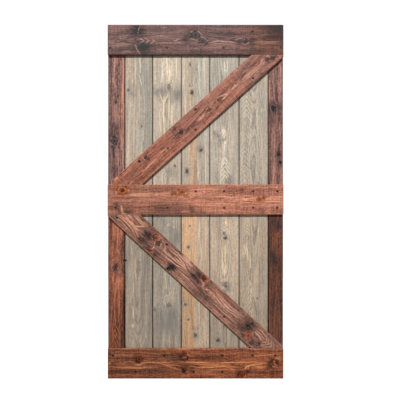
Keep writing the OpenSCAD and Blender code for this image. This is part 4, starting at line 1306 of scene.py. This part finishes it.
                  (1400, -20, 50, 20, 0.6), (1427, 10, 40, 20, 0.5), (1690, -10, 30, 22, 0.6),
                  (690, 30, 50, 10, 0.4), (250, -10, 60, 20, 0.3)],
        "dark_lines": [(3, 0.5, 200, 10, 440, 8), (3, 0.5, 600, 0, 760, 4), (3, 0.4, 860, 10, 980, 12),
                       (3, 0.4, 1500, 0, 1900, 4)],
        "flames": [(4, 0.8, 235, 28, 310, 30), (4, 0.7, 340, 27, 400, 28), (4, 0.8, 340, -38, 470, -38),
                   (3.5, 0.6, 200, -10, 330, -14), (4, 0.7, 580, 24, 700, 28),
                   (4, 0.6, 620, -20, 740, -24), (4, 0.7, 850, -10, 960, -14), (9, 0.3, 1255, 12, 1280, 14),
                   (5, 0.3, 1330, -25, 1370, -22), (4, 0.25, 1480, 18, 1640, 24),
                   (3, 0.25, 1600, -20, 1900, -26)],
        "chevrons": [],
        "bands": [(520, 980, -45, 45, -0.04, 0.1), (1110, 2200, -60, 60, -0.58, 1.15),
                  (1240, 1330, -45, 45, 0.12, 0.3)],
    },
}


def planks():
    """Every wood piece in its place."""
    down = -math.pi / 2
    made = [Plank("left_stile", down, ("plain", "tongue"))]
    made += [Plank(f"board_{n}", down, ("groove", "tongue")) for n in range(1, 6)]
    made.append(Plank("right_stile", down, ("groove", "plain")))
    made += [Plank(node, 0.0) for node in ("top_rail", "middle_rail", "bottom_rail")]
    made.append(Plank("upper_brace", slope_of("upper_brace", rising=True)))
    made.append(Plank("lower_brace", slope_of("lower_brace", rising=False)))
    return made


# Lost knots: (piece, along, across, radius, depth) in millimetres
LOST_KNOTS = [("lower_brace", 490, -55, 9, 13), ("left_stile", 1424, 49, 8, 12),
              ("board_1", 1424, -83, 9, 12)]


def make_wood(plank, look, groups, hole_wall):
    """Builds, cuts, marks and finishes one wood piece."""
    piece = bpy.data.objects.new(plank.node + "_wood", grid_mesh(plank, look))
    bpy.context.scene.collection.objects.link(piece)
    piece.data.materials.append(wood_material(plank, look, groups))
    rims = []
    if plank.kind == "frame":
        holes = frame_holes(plank)
        for place in screw_places(plank.node + "_screws"):
            along, across, _ = plank.local(place[None])
            rims.append((along[0], across[0], STAIN_RIM))
    else:
        holes = board_holes(plank)
    for n, (node, along, across, radius, depth) in enumerate(LOST_KNOTS):
        if node == plank.node:
            holes.append(knot_hole(plank, along, across, radius * MM, depth * MM, n))
            rims.append((along * MM, across * MM, radius * MM + KNOT_RIM))
    cut(piece, holes, hole_wall)
    mesh = piece.data
    paint(mesh, plank, look, rims)
    unwrap(mesh, plank)
    mesh.polygons.foreach_set("use_smooth", np.ones(len(mesh.polygons), dtype=bool))
    mesh.set_sharp_from_angle(angle=SHARP_ANGLE)
    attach(piece, BODY)
    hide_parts(plank.node)


# ---------------------------------------------------------------- room, lights and camera

def pale_floor():
    """A plain pale floor under the door. The camera sees it as white as the surround."""
    material, nodes, shader = new_material("studio_white")
    seen = nodes.new("ShaderNodeLightPath").outputs["Is Camera Ray"]
    shader.inputs["Base Color"].default_value = (0.3, 0.3, 0.3, 1)
    shader.inputs["Roughness"].default_value = 0.9
    shader.inputs["Specular IOR Level"].default_value = 0.0
    shader.inputs["Emission Color"].default_value = (1, 1, 1, 1)
    nodes.feed(shader.inputs["Emission Strength"], seen)
    mesh = bpy.data.meshes.new("floor")
    level = cad_box[0][2] - 0.0005
    mesh.from_pydata([(-6, -6, level), (6, -6, level), (6, 4, level), (-6, 4, level)], [], [(0, 1, 2, 3)])
    mesh.materials.append(material)
    floor = bpy.data.objects.new("floor", mesh)
    bpy.context.scene.collection.objects.link(floor)


def area_light(name, place, aim, size, power):
    """A rectangular soft light that faces `aim`. Its power is in watts."""
    data = bpy.data.lights.new(name, "AREA")
    data.shape = "RECTANGLE"
    data.size, data.size_y = size
    data.energy = power
    light = bpy.data.objects.new(name, data)
    light.location = place
    light.rotation_euler = (Vector(aim) - Vector(place)).to_track_quat("-Z", "Y").to_euler()
    bpy.context.scene.collection.objects.link(light)


def lights():
    """A soft key high behind the camera, a weak fill near it, one for the back and one for
    each side edge, and a surround that the camera sees as white but that lights the door
    only a little."""
    middle = (cad_box[0][2] + cad_box[1][2]) / 2
    area_light("key", (-1.0, -9.0, 9.2), (0, 0, middle), (2.2, 1.0), 1560)
    area_light("fill", (0.6, -4.6, 1.5), (0, 0, middle), (3.0, 2.2), 6)
    area_light("rear", (0.8, 4.2, 3.4), (0, 0, middle), (2.4, 1.4), 150)
    for name, x in (("left_side", -4.5), ("right_side", 4.5)):
        area_light(name, (x, 0.8, 1.9), (0, 0, middle), (1.6, 1.6), 55)
    world = bpy.data.worlds.new("surround")
    bpy.context.scene.world = world
    world.use_nodes = True
    nodes = Nodes(world.node_tree)
    background = world.node_tree.nodes["Background"]
    seen = nodes.new("ShaderNodeLightPath").outputs["Is Camera Ray"]
    background.inputs["Color"].default_value = (1, 1, 1, 1)
    nodes.feed(background.inputs["Strength"], nodes.step(seen, 0.0, 1.0, 0.07, 1.05))


def camera():
    """Square to the door's middle, with its view shifted a little to the right and up."""
    low, high = (np.array(corner) for corner in cad_box)
    distance, width_seen = 3.1, 2.410
    data = bpy.data.cameras.new("camera")
    data.sensor_width = 36.0
    data.lens = 36.0 * distance / width_seen
    data.shift_x, data.shift_y = 0.0111, 0.0042
    eye = bpy.data.objects.new("camera", data)
    eye.location = (0, low[1] - distance, (low[2] + high[2]) / 2)
    eye.rotation_euler = (math.pi / 2, 0, 0)
    bpy.context.scene.collection.objects.link(eye)
    bpy.context.scene.camera = eye


# ---------------------------------------------------------------- the door

bpy.context.scene.view_settings.view_transform = "Standard"
camera()
lights()
pale_floor()

shader_groups = {"knot": knot_group(), "grain": grain_group(), "stain": stain_group()}
hole_wall = hole_material()
for plank in planks():
    make_wood(plank, LOOKS[plank.node], shader_groups, hole_wall)

black_oxide = screw_material()
for node in SCREW_NODES:
    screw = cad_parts[node]
    screw.data.materials.clear()
    screw.data.materials.append(black_oxide)
